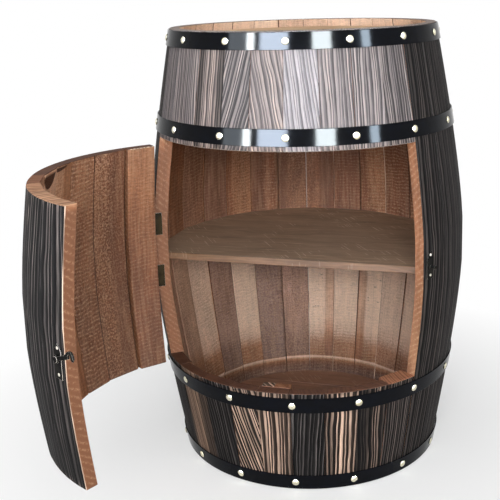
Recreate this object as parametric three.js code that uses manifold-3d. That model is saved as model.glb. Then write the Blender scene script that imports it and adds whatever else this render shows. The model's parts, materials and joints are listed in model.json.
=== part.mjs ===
// Barrel bar cabinet: a coopered barrel whose front staves are sawn out and hung as a door.
// Millimetres, +Z up. The origin is the centre of the underside, on the barrel's axis.
// Angles are measured about the axis, from -Y (the middle of the doorway) towards +X.

import * as THREE from 'three';
import { mergeVertices } from 'three/addons/utils/BufferGeometryUtils.js';
import Module from 'manifold-3d';

const wasm = await Module();
wasm.setup();

// Barrel outline
const BARREL_HEIGHT = 600;
const BILGE_CROWN_RADIUS = 222.75;
const END_RADIUS = 183;
const BULGE_POWER = 1.29;
const BULGE_EASE = 0.04;
const BILGE_FLAT_HEIGHT = 56;

// Staves, counted from the hinge side of the doorway: door first, then right side, back and left side
const DOOR_STAVES = 9;
const STAVE_WIDTH_SHARES = [
  12.3, 15.1, 12.7, 11.0, 12.2, 12.7, 12.2, 12.1, 12.1,
  12.0, 14.8, 14.7, 14.6, 14.7, 14.7,
  13.8, 12.7, 12.7, 12.9, 13.0, 13.2, 12.9, 13.1, 14.3,
  14.5, 14.5, 14.5,
];
const STAVE_THICKNESS_SHARES = [
  1.14, 0.97, 1.02, 0.98, 1.03, 0.96, 1.01, 1.04, 0.98,
  1.00, 0.96, 1.04, 0.98, 1.02, 0.95,
  1.03, 0.97, 1.05, 0.99, 0.96, 1.03, 0.98, 1.04, 0.97,
  1.02, 0.98, 1.28,
];
const STAVE_THICKNESS = 16.5;
const STAVE_GAP = 0.3;
const FACETS_PER_STAVE = 2;
const BODY_ROW_PITCH = 62;

// Stave ends: a band turned round inside, with a V groove that holds the head
const CHIME_THICKNESS = 14;
const CHIME_HEIGHT = 35;
const HOWEL_STEP = 2;
const GROOVE_DEPTH = 3;
const GROOVE_HALF_HEIGHT = 4.2;

// Heads
const TOP_HEAD_THICKNESS = 12;
const TOP_HEAD_RECESS = 11.5;
const BOTTOM_BOARD_THICKNESS = 12.5;
const HEAD_CLEARANCE = 0.3;
const TONGUE_SIDE_CLEARANCE = 0.4;
const TONGUE_TIP_CLEARANCE = 0.6;

// Doorway and door
const SILL_HEIGHT = 146.5;
const HEADER_HEIGHT = 142.5;
const DOOR_BOTTOM_GAP = 2.5;
const DOOR_TOP_GAP = 6;
const DOOR_FREE_GAP = 2.3;
const DOOR_OPEN_ANGLE = 80.3;

// The sill's stave beside the right jamb is a thick one, and a block backs the middle one
const THICK_SILL_STAVE = 8;
const THICK_SILL_STAVE_THICKNESS = 26;
const BLOCKED_SILL_STAVE = 4;
const SILL_BLOCK_WIDTH = 38;
const SILL_BLOCK_DEPTH = 10;
const SILL_BLOCK_HEIGHT = 20;

// Shelf
const SHELF_TOP_HEIGHT = 287.3;
const SHELF_THICKNESS = 10;
const SHELF_FRONT_SETBACK = 89;
const SHELF_CLEARANCE = 0.3;

// Hoops and their nails
const HOOP_WIDTH = 21;
const HOOP_THICKNESS = 1.5;
const HOOP_CLEARANCE = 0.3;
const HOOP_END_MARGIN = 1.2;
const HOOP_DOORWAY_MARGIN = 6.5;
const NAILS_PER_HOOP = 15;
const FIRST_NAIL_ANGLE = 8;
const NAIL_HEAD_RADIUS = 4.5;
const NAIL_HEAD_HEIGHT = 2.2;
const NAIL_ROOT = 0.9;
const NAIL_SIDES = 8;
const NAIL_SHOULDER_RADIUS_SHARE = 0.72;
const NAIL_SHOULDER_HEIGHT_SHARE = 0.66;

// Butt hinges
const HINGE_HEIGHT = 31;
const HINGE_SPACING = 74;
const HINGE_LEAF_THICKNESS = 1.1;
const HINGE_LEAF_REACH = 15;
const HINGE_LEAF_GAP = 0.4;
const KNUCKLE_RADIUS = 2.6;
const KNUCKLE_SURFACE_CLEARANCE = 0.4;
const KNUCKLE_SWEEP_CLEARANCE = 0.3;
const KNUCKLE_END_CLEARANCE = 0.3;
const KNUCKLES_PER_HINGE = 3;
const HINGE_PIN_RADIUS = 1.2;
const HINGE_BORE_CLEARANCE = 0.35;
const HINGE_TAB_OVERLAP = 0.5;
const HINGE_SIDES = 16;
const SEAT_CLEARANCE = 0.3;

// Hook latch: a plate with a pivot on the door, and a keeper with a stud on the barrel
const LATCH_DROP = 3;
const LATCH_PLATE_WIDTH = 12;
const LATCH_PLATE_THICKNESS = 1.2;
const LATCH_PLATE_BELOW = 22;
const LATCH_PLATE_ABOVE = 16;
const LATCH_POINT_HEIGHT = 8;
const KEEPER_PLATE_BELOW = 16;
const KEEPER_PLATE_ABOVE = 20;
const LATCH_RUNNING_GAP = 0.3;
const PIVOT_BOSS_RADIUS = 2;
const PIVOT_CAP_RADIUS = 3.4;
const PIVOT_CAP_THICKNESS = 0.8;
const HOOK_THICKNESS = 2;
const HOOK_EYE_RADIUS = 4.4;
const HOOK_ARM_HALF_WIDTH = 2.2;
const HOOK_NOTCH_CLEARANCE = 0.7;
const HOOK_CROWN_WIDTH = 3;
const HOOK_NOSE_WIDTH = 4.3;
const HOOK_NOSE_LENGTH = 6;
const HOOK_NOSE_TIP_SHARE = 0.35;
const HOOK_NOSE_SHOULDER_SHARE = 0.55;
const HOOK_RAISED_ANGLE = 20;
const STUD_RADIUS = 1.6;
const STUD_LENGTH = 8;
const STUD_HEAD_RADIUS = 2.4;
const STUD_HEAD_THICKNESS = 1.2;
const LATCH_SIDES = 16;
const LATCH_CURVE_STEPS = 8;

const FULL_TURN = 360;
const MERGE_TOLERANCE = 1e-4;

const radians = THREE.MathUtils.degToRad;
const degrees = THREE.MathUtils.radToDeg;

// Places worked out from the sizes above
const MIDDLE_HEIGHT = BARREL_HEIGHT / 2;
const DOORWAY_TOP = BARREL_HEIGHT - HEADER_HEIGHT;
const BOTTOM_GROOVE_HEIGHT = BOTTOM_BOARD_THICKNESS / 2;
const TOP_GROOVE_HEIGHT = BARREL_HEIGHT - TOP_HEAD_RECESS - TOP_HEAD_THICKNESS / 2;
const STAVE_JOINTS = staveJoints();
const BILGE_RADIUS = outerRadius(MIDDLE_HEIGHT - BILGE_FLAT_HEIGHT / 2);
const DOOR_HINGE_GAP = 2 * (SEAT_CLEARANCE + HINGE_LEAF_THICKNESS) + HINGE_LEAF_GAP;
const HINGE_JOINT_ANGLE = STAVE_JOINTS[0];
const HINGE_AXIS_OFFSET = (DOOR_HINGE_GAP - STAVE_GAP) / 2;
const HINGE_AXIS_RADIUS = BILGE_RADIUS + KNUCKLE_RADIUS + KNUCKLE_SURFACE_CLEARANCE;
const DOOR_EDGE_GAPS = { hinge: DOOR_HINGE_GAP - STAVE_GAP / 2, free: DOOR_FREE_GAP - STAVE_GAP / 2 };
const LATCH_HEIGHT = MIDDLE_HEIGHT - LATCH_DROP;
const LATCH_FACET = outerFacet(DOOR_STAVES - 1, FACETS_PER_STAVE - 1, DOOR_EDGE_GAPS.free);
const KEEPER_FACET = outerFacet(DOOR_STAVES, 0, STAVE_GAP / 2);
const LATCH_PLATE_BACK = LATCH_FACET.distance + SEAT_CLEARANCE;
const LATCH_PLATE_FRONT = LATCH_PLATE_BACK + LATCH_PLATE_THICKNESS;
const HOOK_BACK = LATCH_PLATE_FRONT + LATCH_RUNNING_GAP;
const HOOK_FRONT = HOOK_BACK + HOOK_THICKNESS;
const STUD_ANGLE_FROM_PIVOT = radians(KEEPER_FACET.angle - LATCH_FACET.angle);
const STUD_REACH = (HOOK_BACK + HOOK_THICKNESS / 2) * Math.tan(STUD_ANGLE_FROM_PIVOT);

// Angle of each joint between two staves, with the doorway's middle at zero
function staveJoints() {
  const sum = (shares) => shares.reduce((total, share) => total + share, 0);
  const degreesPerShare = FULL_TURN / sum(STAVE_WIDTH_SHARES);
  const joints = [-sum(STAVE_WIDTH_SHARES.slice(0, DOOR_STAVES)) * degreesPerShare / 2];
  for (const share of STAVE_WIDTH_SHARES) {
    joints.push(joints[joints.length - 1] + share * degreesPerShare);
  }
  return joints;
}

// Radius of the barrel's outside at a height: full at the bilge, drawn in towards both ends
function outerRadius(height) {
  const fromMiddle = (2 * height) / BARREL_HEIGHT - 1;
  const bend = (value) => (value + BULGE_EASE) ** (BULGE_POWER / 2);
  const drawn = (bend(fromMiddle ** 2) - bend(0)) / (bend(1) - bend(0));
  return BILGE_CROWN_RADIUS - (BILGE_CROWN_RADIUS - END_RADIUS) * drawn;
}

function grooveDepth(height) {
  const nearest = Math.min(
    Math.abs(height - BOTTOM_GROOVE_HEIGHT),
    Math.abs(height - TOP_GROOVE_HEIGHT),
  );
  return GROOVE_DEPTH * Math.max(0, 1 - nearest / GROOVE_HALF_HEIGHT);
}

// Inside of a stave: flat across its width, and turned round in the bands at both ends
function innerRadius(height, thickness, fromStaveMiddle) {
  const turned = height <= CHIME_HEIGHT || height >= BARREL_HEIGHT - CHIME_HEIGHT;
  if (turned) {
    return outerRadius(height) - CHIME_THICKNESS + grooveDepth(height);
  }
  return (outerRadius(height) - thickness) / Math.cos(radians(fromStaveMiddle));
}

function polar(radius, angle, height) {
  return new THREE.Vector3(radius * Math.sin(radians(angle)), -radius * Math.cos(radians(angle)), height);
}

function staveAngle(index, column) {
  const width = STAVE_JOINTS[index + 1] - STAVE_JOINTS[index];
  return STAVE_JOINTS[index] + (width * column) / FACETS_PER_STAVE;
}

// One flat of a stave's outside at the bilge, as the angle it faces and its distance from the axis
function outerFacet(index, column, edgeGap) {
  const inset = degrees(edgeGap / BILGE_RADIUS);
  const from = staveAngle(index, column) + (column === 0 ? inset : 0);
  const to = staveAngle(index, column + 1) - (column === FACETS_PER_STAVE - 1 ? inset : 0);
  const halfWidth = radians((to - from) / 2);
  return { angle: (from + to) / 2, distance: BILGE_RADIUS * Math.cos(halfWidth) };
}

// Heights of the corner rows between two heights of a stave's body, with the bilge flat kept whole
function bodyLevels(from, to) {
  const flatEdges = [MIDDLE_HEIGHT - BILGE_FLAT_HEIGHT / 2, MIDDLE_HEIGHT + BILGE_FLAT_HEIGHT / 2];
  const marks = [from, ...flatEdges.filter((edge) => edge > from && edge < to), to];
  const levels = [];
  for (let i = 0; i < marks.length - 1; i += 1) {
    const rise = marks[i + 1] - marks[i];
    const steps = Math.ceil(rise / BODY_ROW_PITCH);
    for (let step = 0; step < steps; step += 1) {
      levels.push(marks[i] + (rise * step) / steps);
    }
  }
  levels.push(to);
  return levels;
}

function endLevels(grooveHeight) {
  return [grooveHeight - GROOVE_HALF_HEIGHT, grooveHeight, grooveHeight + GROOVE_HALF_HEIGHT];
}

function bottomLevels() {
  return [0, ...endLevels(BOTTOM_GROOVE_HEIGHT), CHIME_HEIGHT];
}

function topLevels() {
  return [BARREL_HEIGHT - CHIME_HEIGHT, ...endLevels(TOP_GROOVE_HEIGHT), BARREL_HEIGHT];
}

// A stave, or a length of one: a box whose corners are laid on the barrel's outside and inside
function staveGeometry(index, levels, thickness, firstGap, lastGap) {
  const rows = levels.length - 1;
  const geometry = new THREE.BoxGeometry(1, 1, 1, 1, FACETS_PER_STAVE, rows);
  const position = geometry.attributes.position;
  const middle = (STAVE_JOINTS[index] + STAVE_JOINTS[index + 1]) / 2;
  for (let i = 0; i < position.count; i += 1) {
    const column = Math.round((position.getY(i) + 0.5) * FACETS_PER_STAVE);
    const height = levels[Math.round((position.getZ(i) + 0.5) * rows)];
    const outside = position.getX(i) > 0;
    let angle = staveAngle(index, column);
    const radius = outside ? outerRadius(height) : innerRadius(height, thickness, angle - middle);
    if (column === 0) {
      angle += degrees(firstGap / radius);
    }
    if (column === FACETS_PER_STAVE) {
      angle -= degrees(lastGap / radius);
    }
    position.setXYZ(i, ...polar(radius, angle, height).toArray());
  }
  geometry.computeVertexNormals();
  return geometry;
}

function staveThickness(index) {
  return STAVE_THICKNESS * STAVE_THICKNESS_SHARES[index];
}

// A ring or disc of the profile's points, with its corners at the staves' joints and middles
function ringGeometry(points) {
  const angles = [];
  for (let index = 0; index < STAVE_WIDTH_SHARES.length; index += 1) {
    for (let column = 0; column < FACETS_PER_STAVE; column += 1) {
      angles.push(staveAngle(index, column));
    }
  }
  const geometry = new THREE.LatheGeometry(points, angles.length);
  const position = geometry.attributes.position;
  for (let i = 0; i < position.count; i += 1) {
    const column = Math.floor(i / points.length) % angles.length;
    const point = points[i % points.length];
    position.setXYZ(i, ...polar(point.x, angles[column], point.y).toArray());
  }
  geometry.computeVertexNormals();
  return geometry;
}

// Closed solid for joining and cutting, with shared corners merged and empty triangles left out
function solid(geometry) {
  const shell = geometry.clone();
  shell.deleteAttribute('normal');
  shell.deleteAttribute('uv');
  const merged = mergeVertices(shell, MERGE_TOLERANCE);
  const corners = merged.index.array;
  const triangles = [];
  for (let i = 0; i < corners.length; i += 3) {
    const [a, b, c] = corners.slice(i, i + 3);
    if (a !== b && b !== c && c !== a) {
      triangles.push(a, b, c);
    }
  }
  return new wasm.Manifold(new wasm.Mesh({
    numProp: 3,
    vertProperties: new Float32Array(merged.attributes.position.array),
    triVerts: new Uint32Array(triangles),
  }));
}

function geometryOf(manifold) {
  const mesh = manifold.getMesh();
  const geometry = new THREE.BufferGeometry();
  geometry.setAttribute('position', new THREE.BufferAttribute(mesh.vertProperties, 3));
  geometry.setIndex(new THREE.BufferAttribute(mesh.triVerts, 1));
  geometry.computeVertexNormals();
  return geometry;
}

function joined(geometries) {
  return geometries.map(solid).reduce((whole, next) => whole.add(next));
}

// Finishes
function finish(color, roughness, metalness) {
  return new THREE.MeshStandardMaterial({ color, roughness, metalness });
}

const charredPine = () => finish('#43332b', 0.62, 0);
const stainedPine = () => finish('#6b4634', 0.7, 0);
const charredHeadPine = () => finish('#4d3f3b', 0.66, 0);
const stainedShelfPine = () => finish('#4b3024', 0.6, 0);
const blackSteel = () => finish('#17191e', 0.24, 0.85);
const agedBrass = () => finish('#4c4a33', 0.42, 0.8);
const antiqueNickel = () => finish('#6e6656', 0.38, 0.85);

function named(name, geometry, material) {
  const mesh = new THREE.Mesh(geometry, material);
  mesh.name = name;
  return mesh;
}

// Full-height staves of the sides and back
function fullStaves() {
  const levels = [
    ...bottomLevels(),
    ...bodyLevels(CHIME_HEIGHT + HOWEL_STEP, BARREL_HEIGHT - CHIME_HEIGHT - HOWEL_STEP),
    ...topLevels(),
  ];
  const staves = [];
  for (let index = DOOR_STAVES; index < STAVE_WIDTH_SHARES.length; index += 1) {
    const number = String(index - DOOR_STAVES + 1).padStart(2, '0');
    const geometry = staveGeometry(index, levels, staveThickness(index), STAVE_GAP / 2, STAVE_GAP / 2);
    staves.push(named(`stave_${number}`, geometry, charredPine()));
  }
  return staves;
}

// Short staves above the doorway
function topStaves() {
  const body = bodyLevels(DOORWAY_TOP, BARREL_HEIGHT - CHIME_HEIGHT - HOWEL_STEP);
  const levels = [...body, ...topLevels()];
  const staves = [];
  for (let index = 0; index < DOOR_STAVES; index += 1) {
    const geometry = staveGeometry(index, levels, staveThickness(index), STAVE_GAP / 2, STAVE_GAP / 2);
    staves.push(named(`top_stave_${index + 1}`, geometry, charredPine()));
  }
  return staves;
}

// Short staves below the doorway, whose sawn tops are the sill
function bottomStaves() {
  const levels = [...bottomLevels(), ...bodyLevels(CHIME_HEIGHT + HOWEL_STEP, SILL_HEIGHT)];
  const staves = [];
  for (let index = 0; index < DOOR_STAVES; index += 1) {
    const thickness = index === THICK_SILL_STAVE ? THICK_SILL_STAVE_THICKNESS : staveThickness(index);
    const geometry = staveGeometry(index, levels, thickness, STAVE_GAP / 2, STAVE_GAP / 2);
    staves.push(named(`bottom_stave_${index + 1}`, geometry, charredPine()));
  }
  return staves;
}

// Staves of the door, glued edge to edge
function doorStaves() {
  const levels = bodyLevels(SILL_HEIGHT + DOOR_BOTTOM_GAP, DOORWAY_TOP - DOOR_TOP_GAP);
  const staves = [];
  for (let index = 0; index < DOOR_STAVES; index += 1) {
    const firstGap = index === 0 ? DOOR_EDGE_GAPS.hinge : STAVE_GAP / 2;
    const lastGap = index === DOOR_STAVES - 1 ? DOOR_EDGE_GAPS.free : STAVE_GAP / 2;
    const geometry = staveGeometry(index, levels, staveThickness(index), firstGap, lastGap);
    staves.push(named(`door_stave_${index + 1}`, geometry, charredPine()));
  }
  return staves;
}

// A head: a disc whose edge is cut to a V tongue that sits in the staves' groove.
// Both faces stop at the barrel's mouth, so nothing overhangs them.
function headGeometry(lowHeight, highHeight) {
  const middle = (lowHeight + highHeight) / 2;
  const tongueHalfHeight = GROOVE_HALF_HEIGHT - TONGUE_SIDE_CLEARANCE;
  const edgeRadius = (height) => outerRadius(height) - CHIME_THICKNESS - HEAD_CLEARANCE;
  const faceRadius = edgeRadius(BARREL_HEIGHT);
  const tipRadius = outerRadius(middle) - CHIME_THICKNESS + GROOVE_DEPTH - TONGUE_TIP_CLEARANCE;
  return ringGeometry([
    new THREE.Vector2(0, lowHeight),
    new THREE.Vector2(faceRadius, lowHeight),
    new THREE.Vector2(edgeRadius(middle - tongueHalfHeight), middle - tongueHalfHeight),
    new THREE.Vector2(tipRadius, middle),
    new THREE.Vector2(edgeRadius(middle + tongueHalfHeight), middle + tongueHalfHeight),
    new THREE.Vector2(faceRadius, highHeight),
    new THREE.Vector2(0, highHeight),
  ]);
}

function heads() {
  const topSurface = BARREL_HEIGHT - TOP_HEAD_RECESS;
  return [
    named('top_head', headGeometry(topSurface - TOP_HEAD_THICKNESS, topSurface), charredHeadPine()),
    named('bottom_board', headGeometry(0, BOTTOM_BOARD_THICKNESS), stainedShelfPine()),
  ];
}

// The part of a polygon on the inner side of a line that faces an angle at a distance from the axis
function clipped(polygon, facing, distance) {
  const normal = polar(1, facing, 0);
  const depth = (point) => distance - (point.x * normal.x + point.y * normal.y);
  const kept = [];
  polygon.forEach((point, i) => {
    const next = polygon[(i + 1) % polygon.length];
    const [here, there] = [depth(point), depth(next)];
    if (here >= 0) {
      kept.push(point);
    }
    if (here * there < 0) {
      kept.push(point.clone().lerp(next, here / (here - there)));
    }
  });
  return kept;
}

// Shelf: fits the flats inside the full staves, and is cut straight across behind the doorway
function shelf() {
  const reach = BILGE_RADIUS;
  let outline = [
    new THREE.Vector2(-reach, -reach),
    new THREE.Vector2(reach, -reach),
    new THREE.Vector2(reach, reach),
    new THREE.Vector2(-reach, reach),
  ];
  const underside = SHELF_TOP_HEIGHT - SHELF_THICKNESS;
  for (let index = DOOR_STAVES; index < STAVE_WIDTH_SHARES.length; index += 1) {
    const middle = (STAVE_JOINTS[index] + STAVE_JOINTS[index + 1]) / 2;
    const narrowest = Math.min(innerFlat(index, underside), innerFlat(index, SHELF_TOP_HEIGHT));
    outline = clipped(outline, middle, narrowest - SHELF_CLEARANCE);
  }
  outline = clipped(outline, 0, SHELF_FRONT_SETBACK);
  const geometry = new THREE.ExtrudeGeometry(new THREE.Shape(outline), {
    depth: SHELF_THICKNESS,
    bevelEnabled: false,
  });
  geometry.translate(0, 0, underside);
  return named('shelf', geometry, stainedShelfPine());
}

// Distance from the axis to the flat inside of a stave at a height
function innerFlat(index, height) {
  const flatHalf = BILGE_FLAT_HEIGHT / 2;
  const onBilgeFlat = Math.abs(height - MIDDLE_HEIGHT) <= flatHalf;
  const outside = onBilgeFlat ? BILGE_RADIUS : outerRadius(height);
  return outside - staveThickness(index);
}

// Block glued behind the sill's middle stave, its top level with the sill
function sillBlock() {
  const seat = (height) => outerRadius(height) - staveThickness(BLOCKED_SILL_STAVE) - SEAT_CLEARANCE;
  const foot = SILL_HEIGHT - SILL_BLOCK_HEIGHT;
  const back = seat(foot) - SILL_BLOCK_DEPTH;
  const profile = new THREE.Shape([
    new THREE.Vector2(-seat(SILL_HEIGHT), SILL_HEIGHT),
    new THREE.Vector2(-seat(foot), foot),
    new THREE.Vector2(-back, foot),
    new THREE.Vector2(-back, SILL_HEIGHT),
  ]);
  const geometry = new THREE.ExtrudeGeometry(profile, { depth: SILL_BLOCK_WIDTH, bevelEnabled: false });
  geometry.translate(0, 0, -SILL_BLOCK_WIDTH / 2);
  geometry.rotateX(Math.PI / 2);
  geometry.rotateZ(Math.PI / 2);
  const block = named('sill_block', geometry, stainedPine());
  const middle = (STAVE_JOINTS[BLOCKED_SILL_STAVE] + STAVE_JOINTS[BLOCKED_SILL_STAVE + 1]) / 2;
  block.rotation.z = radians(middle);
  return block;
}

// Domed nail head, standing on a radius and leaning with the hoop's slope
function nailGeometry(radius, angle, height, slope) {
  const shoulderRadius = NAIL_HEAD_RADIUS * NAIL_SHOULDER_RADIUS_SHARE;
  const shoulderHeight = NAIL_HEAD_HEIGHT * NAIL_SHOULDER_HEIGHT_SHARE;
  const geometry = new THREE.LatheGeometry([
    new THREE.Vector2(0, -NAIL_ROOT),
    new THREE.Vector2(NAIL_HEAD_RADIUS, -NAIL_ROOT),
    new THREE.Vector2(shoulderRadius, shoulderHeight),
    new THREE.Vector2(0, NAIL_HEAD_HEIGHT),
  ], NAIL_SIDES);
  geometry.rotateX(Math.PI + slope);
  geometry.translate(0, -radius, height);
  geometry.rotateZ(radians(angle));
  return geometry;
}

// Hoop: a flat steel strap bent to the barrel's cone, with its nail heads on it
function hoop(name, foot) {
  const top = foot + HOOP_WIDTH;
  const inside = (height) => outerRadius(height) + HOOP_CLEARANCE;
  const outside = (height) => inside(height) + HOOP_THICKNESS;
  const strap = ringGeometry([
    new THREE.Vector2(inside(foot), foot),
    new THREE.Vector2(outside(foot), foot),
    new THREE.Vector2(outside(top), top),
    new THREE.Vector2(inside(top), top),
    new THREE.Vector2(inside(foot), foot),
  ]);
  const nailHeight = (foot + top) / 2;
  const nailRadius = (outside(foot) + outside(top)) / 2;
  const slope = Math.atan2(outside(top) - outside(foot), HOOP_WIDTH);
  const nails = [];
  for (let nail = 0; nail < NAILS_PER_HOOP; nail += 1) {
    const angle = FIRST_NAIL_ANGLE + (FULL_TURN * nail) / NAILS_PER_HOOP;
    nails.push(nailGeometry(nailRadius, angle, nailHeight, slope));
  }
  return named(name, geometryOf(joined([strap, ...nails])), blackSteel());
}

function hoops() {
  return [
    hoop('hoop_bottom', HOOP_END_MARGIN),
    hoop('hoop_lower', SILL_HEIGHT - HOOP_DOORWAY_MARGIN - HOOP_WIDTH),
    hoop('hoop_upper', DOORWAY_TOP + HOOP_DOORWAY_MARGIN),
    hoop('hoop_top', BARREL_HEIGHT - HOOP_END_MARGIN - HOOP_WIDTH),
  ];
}

// Box between two corners
function boxBetween(low, high) {
  const size = new THREE.Vector3().subVectors(high, low);
  const geometry = new THREE.BoxGeometry(size.x, size.y, size.z);
  const centre = new THREE.Vector3().addVectors(low, high).multiplyScalar(1 / 2);
  return geometry.translate(centre.x, centre.y, centre.z);
}

function uprightCylinder(radius, low, high) {
  const geometry = new THREE.CylinderGeometry(radius, radius, high - low, HINGE_SIDES);
  geometry.rotateX(Math.PI / 2);
  return geometry.translate(0, 0, (low + high) / 2);
}

// A hinge's parts stand on its own axis, with the leaves reaching towards the barrel's axis
function knuckleSpan(number) {
  const clearances = (KNUCKLES_PER_HINGE - 1) * KNUCKLE_END_CLEARANCE;
  const length = (HINGE_HEIGHT - clearances) / KNUCKLES_PER_HINGE;
  const low = -HINGE_HEIGHT / 2 + number * (length + KNUCKLE_END_CLEARANCE);
  return [low, low + length];
}

function leafGeometries(side, knuckles) {
  const near = (side * HINGE_LEAF_GAP) / 2;
  const far = side * (HINGE_LEAF_GAP / 2 + HINGE_LEAF_THICKNESS);
  const [left, right] = [Math.min(near, far), Math.max(near, far)];
  const start = KNUCKLE_RADIUS + KNUCKLE_SWEEP_CLEARANCE;
  const pieces = [boxBetween(
    new THREE.Vector3(left, start, -HINGE_HEIGHT / 2),
    new THREE.Vector3(right, HINGE_LEAF_REACH, HINGE_HEIGHT / 2),
  )];
  for (const number of knuckles) {
    const [low, high] = knuckleSpan(number);
    pieces.push(uprightCylinder(KNUCKLE_RADIUS, low, high));
    pieces.push(boxBetween(
      new THREE.Vector3(left, 0, low),
      new THREE.Vector3(right, start + HINGE_TAB_OVERLAP, high),
    ));
  }
  return pieces;
}

// Leaf on the jamb, with the end knuckles and the pin
function caseLeafGeometry() {
  const pin = uprightCylinder(HINGE_PIN_RADIUS, -HINGE_HEIGHT / 2, HINGE_HEIGHT / 2);
  return geometryOf(joined([...leafGeometries(-1, [0, 2]), pin]));
}

// Leaf on the door, whose middle knuckle turns on the pin
function doorLeafGeometry() {
  const bore = uprightCylinder(HINGE_PIN_RADIUS + HINGE_BORE_CLEARANCE, -HINGE_HEIGHT, HINGE_HEIGHT);
  return geometryOf(joined(leafGeometries(1, [1])).subtract(solid(bore)));
}

// Place of the hinge axis in the barrel's frame, and the turn that lines a leaf up with the jamb
function hingeFrame(height) {
  const frame = new THREE.Group();
  const axis = new THREE.Vector3(HINGE_AXIS_OFFSET, -HINGE_AXIS_RADIUS, height);
  frame.position.copy(axis.applyAxisAngle(new THREE.Vector3(0, 0, 1), radians(HINGE_JOINT_ANGLE)));
  frame.rotation.z = radians(HINGE_JOINT_ANGLE);
  return frame;
}

function hingeLeaves(suffix, geometry) {
  const places = { upper: HINGE_SPACING / 2, lower: -HINGE_SPACING / 2 };
  return Object.entries(places).map(([place, offset]) => {
    const frame = hingeFrame(MIDDLE_HEIGHT + offset);
    frame.add(named(`hinge_${place}_${suffix}`, geometry(), agedBrass()));
    return frame;
  });
}

// A flat latch piece: an outline of tangent and height, thickened outward from its back's distance
function latchGeometry(outline, thickness, back) {
  const geometry = new THREE.ExtrudeGeometry(outline, {
    depth: thickness,
    bevelEnabled: false,
    curveSegments: LATCH_CURVE_STEPS,
  });
  geometry.rotateX(Math.PI / 2);
  return geometry.translate(0, -back, 0);
}

function outwardCylinder(radius, back, front) {
  const geometry = new THREE.CylinderGeometry(radius, radius, front - back, LATCH_SIDES);
  return geometry.translate(0, -(back + front) / 2, 0);
}

function plateOutline(below, above) {
  const half = LATCH_PLATE_WIDTH / 2;
  return new THREE.Shape([
    new THREE.Vector2(-half, -below),
    new THREE.Vector2(half, -below),
    new THREE.Vector2(half, above - LATCH_POINT_HEIGHT),
    new THREE.Vector2(0, above),
    new THREE.Vector2(-half, above - LATCH_POINT_HEIGHT),
  ]);
}

function latchPlate() {
  const rootDistance = LATCH_PLATE_BACK + LATCH_PLATE_THICKNESS / 2;
  const capBack = HOOK_FRONT + LATCH_RUNNING_GAP;
  const plate = latchGeometry(
    plateOutline(LATCH_PLATE_BELOW, LATCH_PLATE_ABOVE),
    LATCH_PLATE_THICKNESS,
    LATCH_PLATE_BACK,
  );
  const boss = outwardCylinder(PIVOT_BOSS_RADIUS, rootDistance, capBack + PIVOT_CAP_THICKNESS / 2);
  const cap = outwardCylinder(PIVOT_CAP_RADIUS, capBack, capBack + PIVOT_CAP_THICKNESS);
  return named('latch_plate', geometryOf(joined([plate, boss, cap])), antiqueNickel());
}

// Hook: an eye round the pivot, an arm, and a nose that drops over the stud
function hookOutline() {
  const notch = STUD_RADIUS + HOOK_NOTCH_CLEARANCE;
  const [notchLeft, notchRight] = [STUD_REACH - notch, STUD_REACH + notch];
  const noseRight = notchRight + HOOK_NOSE_WIDTH;
  const crown = notch + HOOK_CROWN_WIDTH;
  const eyeTurn = Math.asin(HOOK_ARM_HALF_WIDTH / HOOK_EYE_RADIUS);
  const outline = new THREE.Shape();
  outline.absarc(0, 0, HOOK_EYE_RADIUS, eyeTurn, 2 * Math.PI - eyeTurn, false);
  outline.lineTo(notchLeft, -HOOK_ARM_HALF_WIDTH);
  outline.lineTo(notchLeft, 0);
  outline.absarc(STUD_REACH, 0, notch, Math.PI, 0, true);
  outline.lineTo(notchRight, -HOOK_NOSE_LENGTH * HOOK_NOSE_SHOULDER_SHARE);
  outline.lineTo(notchRight + HOOK_NOSE_WIDTH * HOOK_NOSE_TIP_SHARE, -HOOK_NOSE_LENGTH);
  outline.lineTo(noseRight, -HOOK_NOSE_LENGTH * HOOK_NOSE_SHOULDER_SHARE);
  outline.lineTo(noseRight, 0);
  outline.quadraticCurveTo(noseRight, crown, STUD_REACH, crown);
  outline.quadraticCurveTo(notchLeft, crown, notchLeft - crown, HOOK_ARM_HALF_WIDTH);
  const eye = new THREE.Path();
  eye.absarc(0, 0, PIVOT_BOSS_RADIUS + LATCH_RUNNING_GAP, 0, 2 * Math.PI, true);
  outline.holes.push(eye);
  return outline;
}

function latchHook() {
  const hook = named('latch_hook', latchGeometry(hookOutline(), HOOK_THICKNESS, HOOK_BACK), antiqueNickel());
  hook.rotation.y = -radians(HOOK_RAISED_ANGLE);
  return hook;
}

function latchKeeper() {
  const back = KEEPER_FACET.distance + SEAT_CLEARANCE;
  const front = back + LATCH_PLATE_THICKNESS;
  const plate = latchGeometry(
    plateOutline(KEEPER_PLATE_BELOW, KEEPER_PLATE_ABOVE),
    LATCH_PLATE_THICKNESS,
    back,
  );
  const stud = outwardCylinder(STUD_RADIUS, (back + front) / 2, front + STUD_LENGTH);
  const headBack = front + STUD_LENGTH - STUD_HEAD_THICKNESS;
  const head = outwardCylinder(STUD_HEAD_RADIUS, headBack, front + STUD_LENGTH);
  return named('latch_keeper', geometryOf(joined([plate, stud, head])), antiqueNickel());
}

function latchFrame(facet, pieces) {
  const frame = new THREE.Group();
  frame.position.z = LATCH_HEIGHT;
  frame.rotation.z = radians(facet.angle);
  frame.add(...pieces);
  return frame;
}

// Door with everything that swings with it, turned open about the hinge axis
function door() {
  const pivot = hingeFrame(0);
  pivot.rotation.z = -radians(DOOR_OPEN_ANGLE);
  const leaf = new THREE.Group();
  leaf.position.copy(pivot.position).negate();
  leaf.add(...doorStaves());
  leaf.add(...hingeLeaves('door_leaf', doorLeafGeometry));
  leaf.add(latchFrame(LATCH_FACET, [latchPlate(), latchHook()]));
  pivot.add(leaf);
  return pivot;
}

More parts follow.
